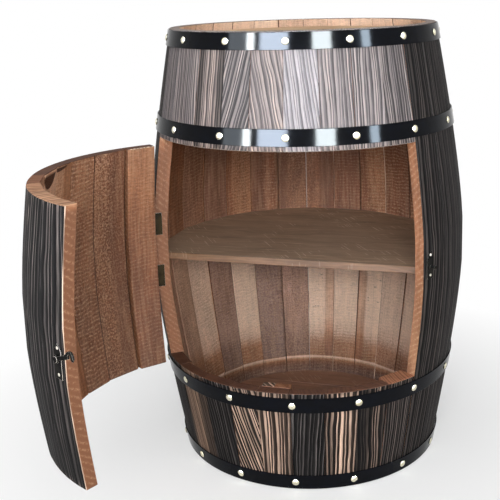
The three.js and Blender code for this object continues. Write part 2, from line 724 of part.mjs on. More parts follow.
const cabinet = new THREE.Group();
cabinet.name = 'barrel_bar_cabinet';
cabinet.add(...fullStaves());
cabinet.add(...topStaves());
cabinet.add(...bottomStaves());
cabinet.add(...heads());
cabinet.add(shelf());
cabinet.add(sillBlock());
cabinet.add(...hoops());
cabinet.add(...hingeLeaves('case_leaf', caseLeafGeometry));
cabinet.add(latchFrame(KEEPER_FACET, [latchKeeper()]));
cabinet.add(door());

export default cabinet;
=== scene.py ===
"""Barrel bar cabinet: coopered staves, hoops, door, shelf, fittings and studio stage."""

import json
import math
import random
from collections import namedtuple
from functools import reduce

import bmesh
import bpy
from bpy.props import FloatProperty, FloatVectorProperty, IntProperty, PointerProperty
from mathutils import Matrix, Vector


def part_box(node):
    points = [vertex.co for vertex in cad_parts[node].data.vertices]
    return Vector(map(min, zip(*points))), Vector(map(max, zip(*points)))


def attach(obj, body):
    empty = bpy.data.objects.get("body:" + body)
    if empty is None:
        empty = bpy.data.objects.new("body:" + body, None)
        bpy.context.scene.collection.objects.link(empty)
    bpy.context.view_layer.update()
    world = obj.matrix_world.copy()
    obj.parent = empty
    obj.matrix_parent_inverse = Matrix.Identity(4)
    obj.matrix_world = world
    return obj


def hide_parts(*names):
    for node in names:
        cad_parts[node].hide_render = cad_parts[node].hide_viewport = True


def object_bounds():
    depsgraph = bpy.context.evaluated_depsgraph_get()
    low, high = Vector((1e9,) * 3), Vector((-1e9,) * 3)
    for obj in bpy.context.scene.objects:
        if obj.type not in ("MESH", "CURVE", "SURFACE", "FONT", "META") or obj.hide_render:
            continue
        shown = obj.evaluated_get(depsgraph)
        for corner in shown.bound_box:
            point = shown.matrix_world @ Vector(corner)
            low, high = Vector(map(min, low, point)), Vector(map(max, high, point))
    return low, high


bl_info = {
    "name": "Barrel Bar Cabinet",
    "version": (1, 0, 0),
    "blender": (4, 5, 0),
    "location": "3D View > Sidebar > Barrel Cabinet",
    "description": "Builds the staves, hoops, door, shelf and fittings of a barrel bar cabinet",
    "category": "Object",
}

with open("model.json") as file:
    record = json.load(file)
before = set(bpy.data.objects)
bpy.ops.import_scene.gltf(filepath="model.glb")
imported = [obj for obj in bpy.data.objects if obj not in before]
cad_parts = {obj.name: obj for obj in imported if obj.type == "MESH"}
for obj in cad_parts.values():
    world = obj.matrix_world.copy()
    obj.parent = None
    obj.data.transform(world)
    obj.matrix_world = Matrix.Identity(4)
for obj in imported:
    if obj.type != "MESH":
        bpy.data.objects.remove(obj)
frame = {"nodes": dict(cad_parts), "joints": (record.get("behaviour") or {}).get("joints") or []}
FRAME_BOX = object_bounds()

TOP_STAVES = [f"top_stave_{i}" for i in range(1, 10)]
BOTTOM_STAVES = [f"bottom_stave_{i}" for i in range(1, 10)]
DOOR_STAVES = [f"door_stave_{i}" for i in range(1, 10)]
FULL_STAVES = [f"stave_{i:02d}" for i in range(1, 19)]
HOOPS = ["hoop_bottom", "hoop_lower", "hoop_upper", "hoop_top"]

Outside = namedtuple(
    "Outside", "bleach stripe warm lean spacing width band", defaults=(0.3, (-0.5, 0.5)))
Inside = namedtuple(
    "Inside", "light saw speck cool band", defaults=(0.3, 0.3, 0.0, (-0.5, 0.5)))
Interior = namedtuple("Interior", "upper lower first last")

# Outside finish of each stave. Paleness, stripe and warmth run from 0 to 1, the grain's lean is
# in radians, the ring spacing in metres, the line width a share of the spacing, and the band
# the part of the stave's width that is striped. The paleness is partly char gone pale and partly
# painted sheen: on the upper front, whose staves tilt up, it stands for the lacquer's reflection,
# brightest on the middle staves
TOP_FINISH = [
    Outside(0.34, 0.45, 0.30, 0.02, 0.0042), Outside(0.44, 0.85, 0.30, 0.04, 0.0044),
    Outside(0.48, 1.50, 0.45, 0.01, 0.0042, 0.34, (-0.25, 0.25)),
    Outside(0.30, 1.10, 0.22, -0.26, 0.0050), Outside(0.66, 1.10, 0.38, 0.24, 0.0048),
    Outside(0.92, 0.85, 0.04, 0.14, 0.0044), Outside(0.60, 1.00, 0.25, 0.02, 0.0048),
    Outside(0.50, 1.00, 0.22, -0.04, 0.0046), Outside(0.28, 0.80, 0.22, 0.03, 0.0046),
]
BOTTOM_FINISH = [
    Outside(0.00, 0.12, 0.30, 0.03, 0.0050, 0.16),
    Outside(0.55, 0.60, 1.00, 0.12, 0.0040, 0.3, (-0.35, 0.1)),
    Outside(0.00, 0.18, 0.20, 0.12, 0.0050, 0.14), Outside(0.06, 1.40, 0.90, 0.28, 0.0052, 0.30),
    Outside(0.16, 1.50, 0.95, -0.02, 0.0056, 0.32), Outside(0.00, 0.30, 0.10, -0.05, 0.0058, 0.12),
    Outside(0.12, 1.80, 0.95, 0.00, 0.0072, 0.36, (-0.15, 0.5)),
    Outside(0.02, 0.75, 0.85, 0.03, 0.0060, 0.18, (0.0, 0.35)),
    Outside(0.02, 0.40, 0.50, 0.01, 0.0044, 0.18),
]
DOOR_FINISH = [
    Outside(0.01, 0.15, 0.30, 0.02, 0.0060, 0.10), Outside(0.01, 0.20, 0.15, -0.03, 0.0060, 0.10),
    Outside(0.01, 0.20, 0.20, 0.03, 0.0060, 0.10), Outside(0.01, 0.25, 0.15, -0.02, 0.0064, 0.10),
    Outside(0.01, 0.25, 0.30, 0.02, 0.0064, 0.10), Outside(0.01, 0.35, 0.30, -0.02, 0.0064, 0.12),
    Outside(0.01, 0.50, 0.35, 0.01, 0.0084, 0.14), Outside(0.01, 0.62, 0.20, -0.01, 0.0086, 0.13),
    Outside(0.01, 0.66, 0.20, 0.01, 0.0078, 0.14),
]
# Inside finish of each stave: lightness, which is nearly black at -1.6, stained at 0, thinly
# stained at 1 and unstained at 2, then saw marks, specks and greyness from 0 to 1, and the part
# of the stave's width that is lighter
DOOR_INSIDE = [
    Inside(0.70, 0.30, 0.10), Inside(0.10, 0.45, 1.00, 0.0, (0.05, 0.5)),
    Inside(0.30, 1.00, 0.40), Inside(1.15, 0.30, 0.30, 0.0, (0.0, 0.5)),
    Inside(1.25, 0.20, 0.10), Inside(1.10, 0.15, 0.10),
    Inside(0.85, 0.50, 0.40), Inside(0.80, 0.50, 0.30), Inside(0.80, 0.50, 0.30),
]
# The door planks' looks at their joints inside, how light their sawn tops are, and the width of
# the chamfer at the first joint of each
DOOR_EDGES = [("", ""), ("dark", "dark"), ("pale", ""), ("pale", "")] + 5 * [("", "")]
DOOR_TOPS = (0.1, 0.05, 0.05, 0.05, 0.1, 0.5, 1.3, 1.5, 1.5)
DOOR_CHAMFERS = (0.0, 0.004, 0.0018, 0.0022, 0.0, 0.0, 0.0, 0.0, 0.0)
# Staves seen through the doorway, above and below the shelf, and the edges of their joints.
# Below the shelf their high lightness and lighter bands are partly painted light and sheen,
# which make that compartment paler and pinker
INTERIOR = {
    "stave_06": Interior(Inside(-0.05, 0.6, 0.2), Inside(2.0, 1.0, 0.2, 0.1), "", "dark"),
    "stave_07": Interior(Inside(-0.25, 0.6, 0.2), Inside(1.95, 0.6, 0.6, 0.2), "dark", ""),
    "stave_08": Interior(Inside(0.5, 1.0, 0.4, 0.0, (-0.5, 0.2)),
                         Inside(2.1, 1.0, 0.4, 0.0, (-0.5, 0.1)), "pale", "dark"),
    "stave_09": Interior(Inside(-0.5, 0.3, 0.1), Inside(2.0, 1.0, 0.4, 0.1), "dark", "pale"),
    "stave_10": Interior(Inside(-0.1, 0.2, 0.5, 0.0, (0.05, 0.5)),
                         Inside(2.1, 0.8, 0.6, 0.1, (-0.1, 0.5)), "", "pale"),
    "stave_11": Interior(Inside(-0.35, 0.3, 0.5, 0.0, (-0.5, 0.15)),
                         Inside(1.0, 0.4, 0.7, 0.75), "", "dark"),
    "stave_12": Interior(Inside(-0.1, 0.4, 0.2, 0.0, (-0.35, 0.05)),
                         Inside(0.35, 0.4, 0.5, 0.95), "pale", ""),
    "stave_13": Interior(Inside(0.4, 0.5, 0.6, 0.0, (-0.5, 0.25)),
                         Inside(1.9, 1.0, 0.6), "dark", "dark"),
    "stave_14": Interior(Inside(-0.8, 0.2, 0.1, 0.3), Inside(0.6, 0.4, 0.4, 0.8), "", "dark"),
    "stave_15": Interior(Inside(-0.55, 0.4, 0.2, 0.2), Inside(1.75, 0.7, 0.4), "dark", "pale"),
    "stave_16": Interior(Inside(-0.05, 0.3, 0.2), Inside(1.4, 0.2, 0.3), "dark", ""),
    "stave_17": Interior(Inside(-0.15, 0.3, 0.2), Inside(1.3, 0.2, 0.2), "pale", ""),
}
DOOR_FOOT, DOOR_TOP = (corner.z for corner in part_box(DOOR_STAVES[0]))
# Where a chisel slipped on the inside: across the plank, height, and how flat the mark is
DOOR_GOUGES = {
    "door_stave_4": Vector((0.012, DOOR_TOP - 0.002, 3.5)),
    "door_stave_5": Vector((0.002, DOOR_TOP - 0.004, 1.0)),
}
NO_GOUGE = Vector((1, 1, 0))
# The last finish is painted shade on the deep side of open joints
STAVE_FINISHES = (
    "charred pine", "stained pine", "sawn pine", "stave ends", "rubbed arris", "shaded joint")
CHARRED, STAINED, SAWN, ENDS, RUBBED, JOINT_SHADE = range(len(STAVE_FINISHES))
RIM_GREY, HEADER_GREY = 0.8, 0.9  # greyness of the full and the header staves' ends
SILL_LIGHT = (0.0, 0.02, 0.04, 0.06, 0.08, 0.10, 0.12, 0.14, 0.8)  # lightness of the sill's cuts
RUBBED_SILL = BOTTOM_STAVES[4:]  # sill staves whose inner edge is rubbed
DOOR_SHADE, DOOR_EDGE_SHADE = 0.4, 1.3  # how much darker the door's planks are at their feet
RING_SPACING = 0.0052  # growth rings in the grain's own measure
BARE_HEIGHT = 0.008  # rubbed strip beside each cut across the front staves
BARREL_END = 0.1  # the doorway's cuts lie further than this from the barrel's ends
OUTER_DEPTH = 0.008  # tells a stave's outer corners from its inner ones
ROW_GAP = 0.003  # least distance of two mesh rows
FLAT, SLOPE = 0.92, 0.3  # parts of a normal that tell a face from an arris
FOOT_SHADE, FOOT_TOP, FOOT_FADE = 1.2, 0.09, 0.035  # staves inside darken towards their feet
JAMB_FADE = 0.12  # height over which the right jamb pales below the shelf
PALE_PATCH = 0.012  # height of the pale patch beside the door's top on the left jamb
DOOR_CUT = 0.001  # within this of the door's top, only the sawn top takes its own lightness
BOARD_GAP = 0.0001  # half the gap between two boards of a head
HOOP_STEPS = 180  # facets round a hoop
NAIL_ROOT = 0.0002  # how deep a nail or screw head sits
# The dark foot of each nail head is a painted shadow ring round it
SHADOW_RIM = 0.22  # share of a nail head's height that is as dark as the strap
FLOOR_REACH, FLOOR_DROP = 40, 0.0005  # half its width, and how far it lies below the barrel

# Lamps: turn from the viewer in degrees, distance, height, size, radiance, colour, the height
# they aim at, and whether dull and glossy surfaces see them. The strips are the bands of light
# on the hoops, each with its turn, width, radiance and colour
Lamp = namedtuple("Lamp", "name turn distance height size radiance colour aim dull glossy")
STRIPS = [
    (-52.5, 0.75, 28, (0.80, 0.90, 1.0)), (-41.5, 0.28, 330, (0.92, 0.98, 1.0)),
    (-22.5, 1.05, 205, (0.72, 0.83, 1.0)), (15, 0.68, 245, (0.88, 0.97, 1.0)),
    (51, 0.34, 130, (0.70, 0.85, 1.0)),
]
LAMPS = [
    Lamp("window", -5, 2.4, 0.95, (1.3, 0.7), 9.5, (1.0, 0.99, 0.97), 0.3, True, False),
    Lamp("low", 0, 1.5, 0.82, (0.7, 0.24), 16.0, (1.0, 0.98, 0.95), 0.22, True, False),
    Lamp("top", 0, 0.8, 2.4, (1.4, 1.4), 1.6, (1, 1, 1), 0.3, True, True),
]
LAMPS += [Lamp(f"strip {i}", turn, 2.6, 1.45, (width, 1.9), radiance, colour, 0.5, False, True)
          for i, (turn, width, radiance, colour) in enumerate(STRIPS, 1)]


# Settings


def length(name, default, description):
    """A size in metres for a settings group."""
    return FloatProperty(
        name=name, description=description, default=default, unit="LENGTH", precision=5)


def number(name, default, description, subtype="NONE"):
    """A plain number for a settings group, or an angle with that subtype."""
    return FloatProperty(name=name, description=description, default=default, subtype=subtype)


def colour(name, default, description):
    """A colour for a settings group."""
    return FloatVectorProperty(
        name=name, description=description, default=default, subtype="COLOR", size=3, min=0, max=1)


class BarrelSizes(bpy.types.PropertyGroup):
    """Sizes of the barrel that a maker would change"""

    crown_radius: length("Crown radius", 0.22275,
                         "Radius that the side curve would reach at the bilge")
    bilge_radius: length("Bilge radius", 0.2219, "Radius at which the bilge is shaved flat")
    end_radius: length("End radius", 0.183, "Outside radius at the barrel's ends")
    bulge_power: number("Bulge power", 1.29, "How quickly the side draws in towards the ends")
    bulge_ease: number("Bulge ease", 0.04, "How softly the side turns at the bilge")
    chime_height: length("Chime height", 0.035, "Height of the band turned round inside each end")
    chime_thickness: length("Chime thickness", 0.014, "Stave thickness in the turned band")
    howel_step: length("Howel step", 0.002,
                       "Height of the step from the turned band to the stave's flat")
    arris: length("Arris", 0.0007, "Width of the broken edge along each stave")
    joint_recess: length("Joint recess", 0.0004,
                         "Most that one stave lies below its neighbour outside")
    row_pitch: length("Row pitch", 0.021, "Spacing of the mesh rows up a stave")
    columns: IntProperty(
        name="Columns", description="Mesh columns across a stave", default=10, min=2)
    joint_chamfer: length("Joint chamfer", 0.0015,
                          "Width of a pale chamfer beside an open joint inside")


class HoopSizes(bpy.types.PropertyGroup):
    """Sizes of the hoops and their nails"""

    thickness: length("Hoop thickness", 0.0015, "Thickness of the steel strap")
    seat: length("Hoop seat", 0.0003, "Clearance between the strap and the staves")
    edge: length("Hoop edge", 0.0004, "Rounding of the strap's edges")
    nails: IntProperty(
        name="Nails", description="Nails round each hoop", default=15, min=1)
    first_nail: number("First nail", math.radians(8),
                       "Angle of the first nail from the doorway's middle", "ANGLE")
    nail_radius: length("Nail head radius", 0.0048, "Radius of a domed nail head")
    nail_height: length("Nail head height", 0.0022, "Height of a domed nail head")


class FittingSizes(bpy.types.PropertyGroup):
    """Sizes of the small details of the head, shelf, hinges and latch"""

    board_width: length("Board width", 0.062, "Width of the boards in the heads")
    board_arris: length("Board arris", 0.0006, "Broken edge of the head boards")
    shelf_arris: length("Shelf arris", 0.0008, "Broken edge of the shelf and the sill block")
    # The pale rubbed edges of the hinges and latch are partly painted glints
    hinge_arris: length("Hinge arris", 0.0005, "Rounded and rubbed edge of the hinge leaves")
    latch_arris: length("Latch arris", 0.0006, "Rounded and rubbed edge of the latch parts")
    hinge_screw_inset: length("Hinge screw inset", 0.006,
                              "Distance of the hinges' screws from the leaf's ends")
    latch_screw_inset: length("Latch screw inset", 0.0045,
                              "Distance of the latch's screws from the plate's ends")
    screw_radius: length("Screw radius", 0.0018,
                         "Radius of the screw heads in the hinges and the latch")
    flush_screw_height: length("Flush screw height", 0.00015,
                               "How far a countersunk screw stands out")
    domed_screw_height: length("Domed screw height", 0.0011,
                               "How far a domed screw of the keeper stands out")


class CabinetColours(bpy.types.PropertyGroup):
    """Colours of the finishes"""

    char: colour("Char", (0.014, 0.0125, 0.012), "Burnt wood")
    # The pale char colour is partly painted sheen: it also stands for the lacquer's reflection on
    # the upper front
    bleached_and_sheen: colour("Bleached char", (0.5, 0.475, 0.52), "Burnt wood where it has paled")
    browned: colour("Browned char", (0.3, 0.19, 0.13), "Burnt wood where the fire only browned it")
    cool_grain: colour("Cool grain", (0.68, 0.62, 0.62), "Grain lines on the grey staves")
    warm_grain: colour("Warm grain", (0.78, 0.54, 0.41), "Grain lines on the tan striped staves")
    stained: colour("Stain", (0.275, 0.097, 0.039), "Stained pine inside")
    stained_light: colour("Thin stain", (0.60, 0.275, 0.135),
                          "Stained pine where the stain is thin")
    # Unstained pine; the staves below the shelf blend towards it as painted light and sheen
    fresh_and_lit: colour("Fresh pine", (1.0, 0.75, 0.57), "Pine that took no stain")
    grey_stain: colour("Grey stain", (0.60, 0.40, 0.335), "Stain that dried to a greyish brown")
    torn: colour("Torn grain", (0.68, 0.41, 0.24), "Pale fibres that the saw raised")
    sawn: colour("Sawn edge", (0.46, 0.19, 0.09), "Sawn edges round the doorway")
    cream: colour("Bare arris", (0.8, 0.6, 0.45), "Bare wood on rubbed edges")
    rim: colour("Rim", (0.4, 0.36, 0.33), "Weathered stave ends")
    shelf: colour("Shelf", (0.32, 0.215, 0.14), "Shelf boards")
    shelf_edge: colour("Shelf edge", (0.22, 0.118, 0.062), "Planed front edge of the shelf")
    base_board: colour("Base board", (0.27, 0.145, 0.09), "Boards of the bottom")
    head: colour("Head", (0.72, 0.46, 0.29), "Boards of the top head")
    steel: colour("Black steel", (0.004, 0.0045, 0.006), "Enamelled hoops")
    nail: colour("Nail brass", (0.62, 0.57, 0.43), "Pale brass nail heads")
    # Near black: brass darkened with age, and painted shade of the slot between door and jamb where
    # the leaves sit
    brass: colour("Aged brass", (0.022, 0.014, 0.004), "Darkened hinge brass")
    nickel: colour("Antique nickel", (0.006, 0.0055, 0.005), "Blackened latch metal")
    # The pale edge metal is partly rubbed metal and partly painted glints, also on the latch's
    # screw heads
    worn_metal_and_glint: colour("Worn metal", (0.78, 0.72, 0.62), "Latch and hinge edges rubbed bright")


class StageSettings(bpy.types.PropertyGroup):
    """Camera and lights"""

    camera_place: FloatVectorProperty(
        name="Camera place", description="Where the camera stands", subtype="TRANSLATION",
        unit="LENGTH", size=3, default=(0.3167, -1.2425, 0.6547))
    camera_heading: number("Camera heading", math.radians(-16.586),
                           "Compass turn of the view from +Y towards +X", "ANGLE")
    camera_pitch: number("Camera pitch", 0.2089, "How far the camera looks down", "ANGLE")
    camera_roll: number("Camera roll", -0.0284, "Turn of the camera about its own axis", "ANGLE")
    lens: number("Lens", 65.85, "Focal length in millimetres")
    shift_x: number("Shift X", -0.0388, "Sideways shift of the frame")
    shift_y: number("Shift Y", -0.1436, "Upright shift of the frame")
    front: number("Front", math.radians(14.3), "Angle of the viewer round the barrel", "ANGLE")
    ambient: number("Ambient", 0.34, "Strength of the even light all round")


# Geometry helpers


def settings(name):
    return getattr(bpy.context.scene, f"barrel_{name}")


def outer_radius(z):
    """Outside radius of the barrel at a height."""
    sizes = settings("sizes")
    height = FRAME_BOX[1].z
    from_middle = 2 * z / height - 1

    def bend(value):
        return (value + sizes.bulge_ease) ** (sizes.bulge_power / 2)

    drawn = (bend(from_middle ** 2) - bend(0)) / (bend(1) - bend(0))
    curve = sizes.crown_radius - (sizes.crown_radius - sizes.end_radius) * drawn
    return min(curve, sizes.bilge_radius)


def polar(radius, angle, z):
    """Point at an angle from the doorway's middle, positive to the right."""
    return Vector((radius * math.sin(angle), -radius * math.cos(angle), z))


def clamped(value):
    """A value kept from 0 to 1."""
    return min(1.0, max(0.0, value))


def at_doorway(z):
    """Whether a stave that ends at this height is cut off there for the doorway."""
    return BARREL_END < z < FRAME_BOX[1].z - BARREL_END


def joint(name):
    return next(j for j in frame["joints"] if j["name"] == name)


def shut_turn():
    """Turn that swings the door shut from the pose in which the model is built."""
    swing = joint("door_swing")
    place = Vector(swing["pos_m"])
    turn = Matrix.Rotation(math.radians(swing["range_deg"][0]), 4, Vector(swing["axis"]))
    return Matrix.Translation(place) @ turn @ Matrix.Translation(-place)


def clean_copy(node):
    """The node's own mesh with its loose triangles joined into plain faces."""
    bm = bmesh.new()
    bm.from_mesh(frame["nodes"][node].data)
    bmesh.ops.remove_doubles(bm, verts=bm.verts, dist=2e-6)
    bmesh.ops.dissolve_limit(
        bm, angle_limit=math.radians(1.5), verts=bm.verts, edges=bm.edges)
    bmesh.ops.recalc_face_normals(bm, faces=bm.faces)
    return bm


def break_edges(bm, width, angle=40, segments=1):
    """Bevels every edge where the surface turns by more than an angle in degrees."""
    sharp = [e for e in bm.edges if len(e.link_faces) == 2
             and e.calc_face_angle(0) > math.radians(angle)]
    return bmesh.ops.bevel(
        bm, geom=sharp, offset=width, offset_type="OFFSET", affect="EDGES",
        segments=segments, profile=0.5, material=-1, clamp_overlap=True)["faces"]


def cut_plane(bm, place, normal, one_side=False):
    """Cuts along a plane. With one_side, what lies beyond is dropped and the cut is closed."""
    bmesh.ops.bisect_plane(bm, geom=bm.verts[:] + bm.edges[:] + bm.faces[:], plane_co=place,
                           plane_no=normal, clear_outer=one_side, dist=1e-7)
    if one_side:
        bmesh.ops.edgeloop_fill(bm, edges=[e for e in bm.edges if e.is_boundary])


def shade(bm, angle=28):
    """Smooth shading, with a crisp edge where the surface turns by more than an angle."""
    for face in bm.faces:
        face.smooth = True
    for edge in bm.edges:
        if len(edge.link_faces) != 2 or edge.calc_face_angle(0) > math.radians(angle):
            edge.smooth = False


def as_mesh(name, bm):
    """A mesh with a bmesh's faces. The bmesh is freed."""
    mesh = bpy.data.meshes.new(name)
    bm.to_mesh(mesh)
    bm.free()
    return mesh


def add_mesh(bm, other):
    """Adds another bmesh's faces."""
    spare = as_mesh("spare", other)
    bm.from_mesh(spare)
    bpy.data.meshes.remove(spare)


def link_object(name, data):
    """A new object in the scene."""
    made = bpy.data.objects.new(name, data)
    bpy.context.scene.collection.objects.link(made)
    return made


def finish_piece(name, bm, body, slot, finishes, *nodes):
    """Makes the object, and lets it stand for its CAD nodes."""
    shade(bm)
    mesh = as_mesh(name, bm)
    for finish in finishes:
        mesh.materials.append(bpy.data.materials[finish])
    piece = link_object(name, mesh)
    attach(piece, body)
    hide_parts(*nodes)


def lay_value(bm, name, value):
    """Stores a vector on every corner, the same one or worked out for each."""
    layer = bm.verts.layers.float_vector.new(name)
    for vert in bm.verts:
        vert[layer] = value(vert) if callable(value) else value


def lay_grain(bm, place, offset, lean=0.0):
    """Stores each corner's place in the log: across, depth and along from the pith."""
    turn = Matrix.Rotation(lean, 3, "Y")
    lay_value(bm, "grain", lambda v: turn @ place(v.co) + offset)


def pith_offset(dice):
    """Where the log's pith lies from a board cut from its side."""
    side = dice.choice((-1, 1))
    return Vector((side * dice.uniform(0.11, 0.17), dice.uniform(0.01, 0.05), dice.uniform(0, 4)))


# Staves


class StaveRead:
    """Angles, heights and thickness of a stave's CAD node, with the door shut."""

    def __init__(self, node, turn):
        corners = [turn @ v.co for v in frame["nodes"][node].data.vertices]
        middle = FRAME_BOX[1].z / 2
        level = min((c.z for c in corners), key=lambda z: abs(z - middle))
        ring = [c for c in corners if abs(c.z - level) < 1e-6]
        centre = sum(ring, Vector()) / len(ring)
        self.facing = math.atan2(centre.x, -centre.y)
        self.low = min(c.z for c in corners)
        self.high = max(c.z for c in corners)
        places = [(math.hypot(c.x, c.y), self.angle_of(c)) for c in ring]
        outside = max(r for r, _ in places)
        split = outside - OUTER_DEPTH
        edges = {}
        for side, pick in (("first", min), ("last", max)):
            out = pick(((a, r) for r, a in places if r > split))
            inner = pick(((a, r) for r, a in places if r < split))
            gap = (inner[0] - out[0]) / (1 / inner[1] - 1 / out[1])
            edges[side] = (out[0] - gap / out[1], gap)
        self.first, self.first_gap = edges["first"]
        self.last, self.last_gap = edges["last"]
        self.middle = (self.first + self.last) / 2
        flat = min(r * math.cos(a - self.middle) for r, a in places if r < split)
        self.thickness = outside - flat

    def angle_of(self, corner):
        """Angle from the stave's own facing."""
        angle = math.atan2(corner.x, -corner.y) - self.facing
        return (angle + math.pi) % (2 * math.pi) - math.pi

    def width(self):
        return (self.last - self.first) * settings("sizes").bilge_radius


def stave_rows(read):
    """Heights at which a stave's mesh has a row."""
    sizes = settings("sizes")
    top = FRAME_BOX[1].z
    marks = [sizes.chime_height, sizes.chime_height + sizes.howel_step,
             sizes.chime_height + 2 * sizes.howel_step,
             top - sizes.chime_height - sizes.howel_step, top - sizes.chime_height]
    marks += [z for z in (read.low + BARE_HEIGHT, read.high - BARE_HEIGHT) if at_doorway(z)]
    marks = [m for m in marks if read.low + 1e-5 < m < read.high - 1e-5]
    steps = math.ceil((read.high - read.low) / sizes.row_pitch)
    for i in range(1, steps):
        z = read.low + (read.high - read.low) * i / steps
        if all(abs(z - m) > ROW_GAP for m in marks):
            marks.append(z)
    return sorted(marks)


def stave_blank(read, wide_first):
    """A straight board with broken edges, its outside facing -Y."""
    sizes = settings("sizes")
    width, thickness = read.width(), read.thickness
    bm = bmesh.new()
    bmesh.ops.create_cube(bm, size=1)
    bmesh.ops.scale(bm, vec=(width, thickness, read.high - read.low), verts=bm.verts)
    bmesh.ops.translate(bm, vec=(0, 0, (read.low + read.high) / 2), verts=bm.verts)
    for z in stave_rows(read):
        cut_plane(bm, (0, 0, z), (0, 0, 1))
    for i in range(1, sizes.columns):
        cut_plane(bm, (width * (i / sizes.columns - 0.5), 0, 0), (1, 0, 0))
    if wide_first:
        corner = [e for e in bm.edges
                  if all(v.co.x < -width / 2 + 1e-6 and v.co.y > thickness / 2 - 1e-6
                         for v in e.verts)]
        bmesh.ops.bevel(
            bm, geom=corner, offset=wide_first, offset_type="OFFSET", affect="EDGES",
            segments=1, profile=0.5, material=-1)
    break_edges(bm, sizes.arris)
    bm.normal_update()
    return bm


def sort_faces(bm, rubbed, dark):
    """Material of each face. Arrises are named by where they lie, as in inner first."""
    for face in bm.faces:
        x, y, z = face.normal
        edge = ""
        if max(abs(x), abs(y), abs(z)) < FLAT and abs(y) > SLOPE:
            side = "first" if x < -SLOPE else "last" if x > SLOPE else "low" if z < 0 else "high"
            edge = f"{'inner' if y > 0 else 'outer'} {side}"
        if edge in rubbed:
            face.material_index = RUBBED
        elif edge in dark:
            face.material_index = JOINT_SHADE
        elif abs(z) > 0.5:
            face.material_index = ENDS
        elif abs(y) > 0.6:
            face.material_index = CHARRED if y < 0 else STAINED
        else:
            face.material_index = SAWN


def bend_stave(bm, read, recess, back):
    """Lays a straight board on the barrel, and turns it to the pose of its body."""
    sizes = settings("sizes")
    width, thickness = read.width(), read.thickness
    for vert in bm.verts:
        share = vert.co.x / width + 0.5
        depth = vert.co.y + thickness / 2
        z = vert.co.z
        plain = read.first + share * (read.last - read.first)
        outside = outer_radius(z)
        if depth < thickness / 2:
            radius = outside - depth - recess
        else:
            flat = (outside - thickness) / math.cos(plain - read.middle)
            turned = outside - sizes.chime_thickness
            from_end = min(z, FRAME_BOX[1].z - z)
            blend = clamped((from_end - sizes.chime_height) / sizes.howel_step)
            radius = turned + (flat - turned) * blend + (thickness - depth)
        angle = plain + (1 - share) * read.first_gap / radius + share * read.last_gap / radius
        vert.co = back @ polar(radius, read.facing + angle, z)


def soft_band(across, band):
    """1 inside a band of the stave's width, and 0 a little outside it."""
    return clamped(min(across - band[0], band[1] - across) / 0.08 + 1.0)


def inside_tone(inner, across, drop=0.0):
    """Finish of one point inside, which is duller beside the lighter band of the stave."""
    level = soft_band(across, inner.band)
    marks = 0.4 + 0.6 * level
    return inner._replace(light=inner.light - 0.7 * (1 - level) - drop, saw=inner.saw * marks,
                          speck=inner.speck * marks)


def outside_tone(outside, read):
    """Paleness and painted sheen, stripe and warmth at each point of a stave's outside."""
    def tone(across, z):
        level = 0.2 + 0.8 * soft_band(across, outside.band)
        bleach, stripe, warm = outside.bleach * level, outside.stripe * level, outside.warm
        if at_doorway(read.low) and at_doorway(read.high):
            rise = 0.1 + 0.9 * (z - read.low) / (read.high - read.low)
            bleach, stripe = bleach * rise, stripe * rise
        for cut in (read.low, read.high):
            if at_doorway(cut) and abs(z - cut) < BARE_HEIGHT / 2:
                stripe, warm = min(1.0, stripe + 0.4), min(1.0, warm + 0.3)
        return Vector((bleach, stripe, warm))
    return tone


def joint_looks(*looks):
    """The rubbed and the dark ones of a stave's two joints inside."""
    edges = dict(zip(("inner first", "inner last"), looks))
    return [[edge for edge in edges if edges[edge] == look] for look in ("pale", "dark")]


def build_stave(node, body, outside, inside, cut, rubbed=(), dark=(), wide_first=0.0,
                gouge=None):
    """One stave: board, grain, finish, bend. The cut holds the ends' greyness and lightness."""
    shut = shut_turn() if body == "door" else Matrix.Identity(4)
    read = StaveRead(node, shut)
    dice = random.Random(node)
    bm = stave_blank(read, wide_first)
    sort_faces(bm, rubbed, dark)
    depth = read.thickness / 2
    fit = RING_SPACING / outside.spacing
    middle = (read.low + read.high) / 2

    def in_log(co):
        return Vector((co.x * fit, (co.y + depth) * fit, co.z - middle))

    def finish(vert):
        return inside(vert.co.x / read.width(), vert.co.z)

    lay_grain(bm, in_log, pith_offset(dice), outside.lean)
    tone = outside_tone(outside, read)
    lay_value(bm, "tone", lambda v: tone(v.co.x / read.width(), v.co.z))
    lay_value(bm, "finish", lambda v: Vector(finish(v)[:3]))
    lay_value(bm, "grey stain", lambda v: Vector((finish(v).cool, 0, 0)))
    lay_value(bm, "cut", lambda v: Vector((cut[0], cut[1](v.co.z), outside.width)))

    def from_gouge(vert):
        if not gouge:
            return NO_GOUGE
        return Vector((vert.co.x - gouge.x, (vert.co.z - gouge.y) * gouge.z, 0))

    lay_value(bm, "gouge", from_gouge)
    recess = dice.uniform(0, settings("sizes").joint_recess)
    bend_stave(bm, read, recess, shut.inverted())
    finish_piece(f"{node}_board", bm, body, "charred_pine", STAVE_FINISHES, node)


# Materials


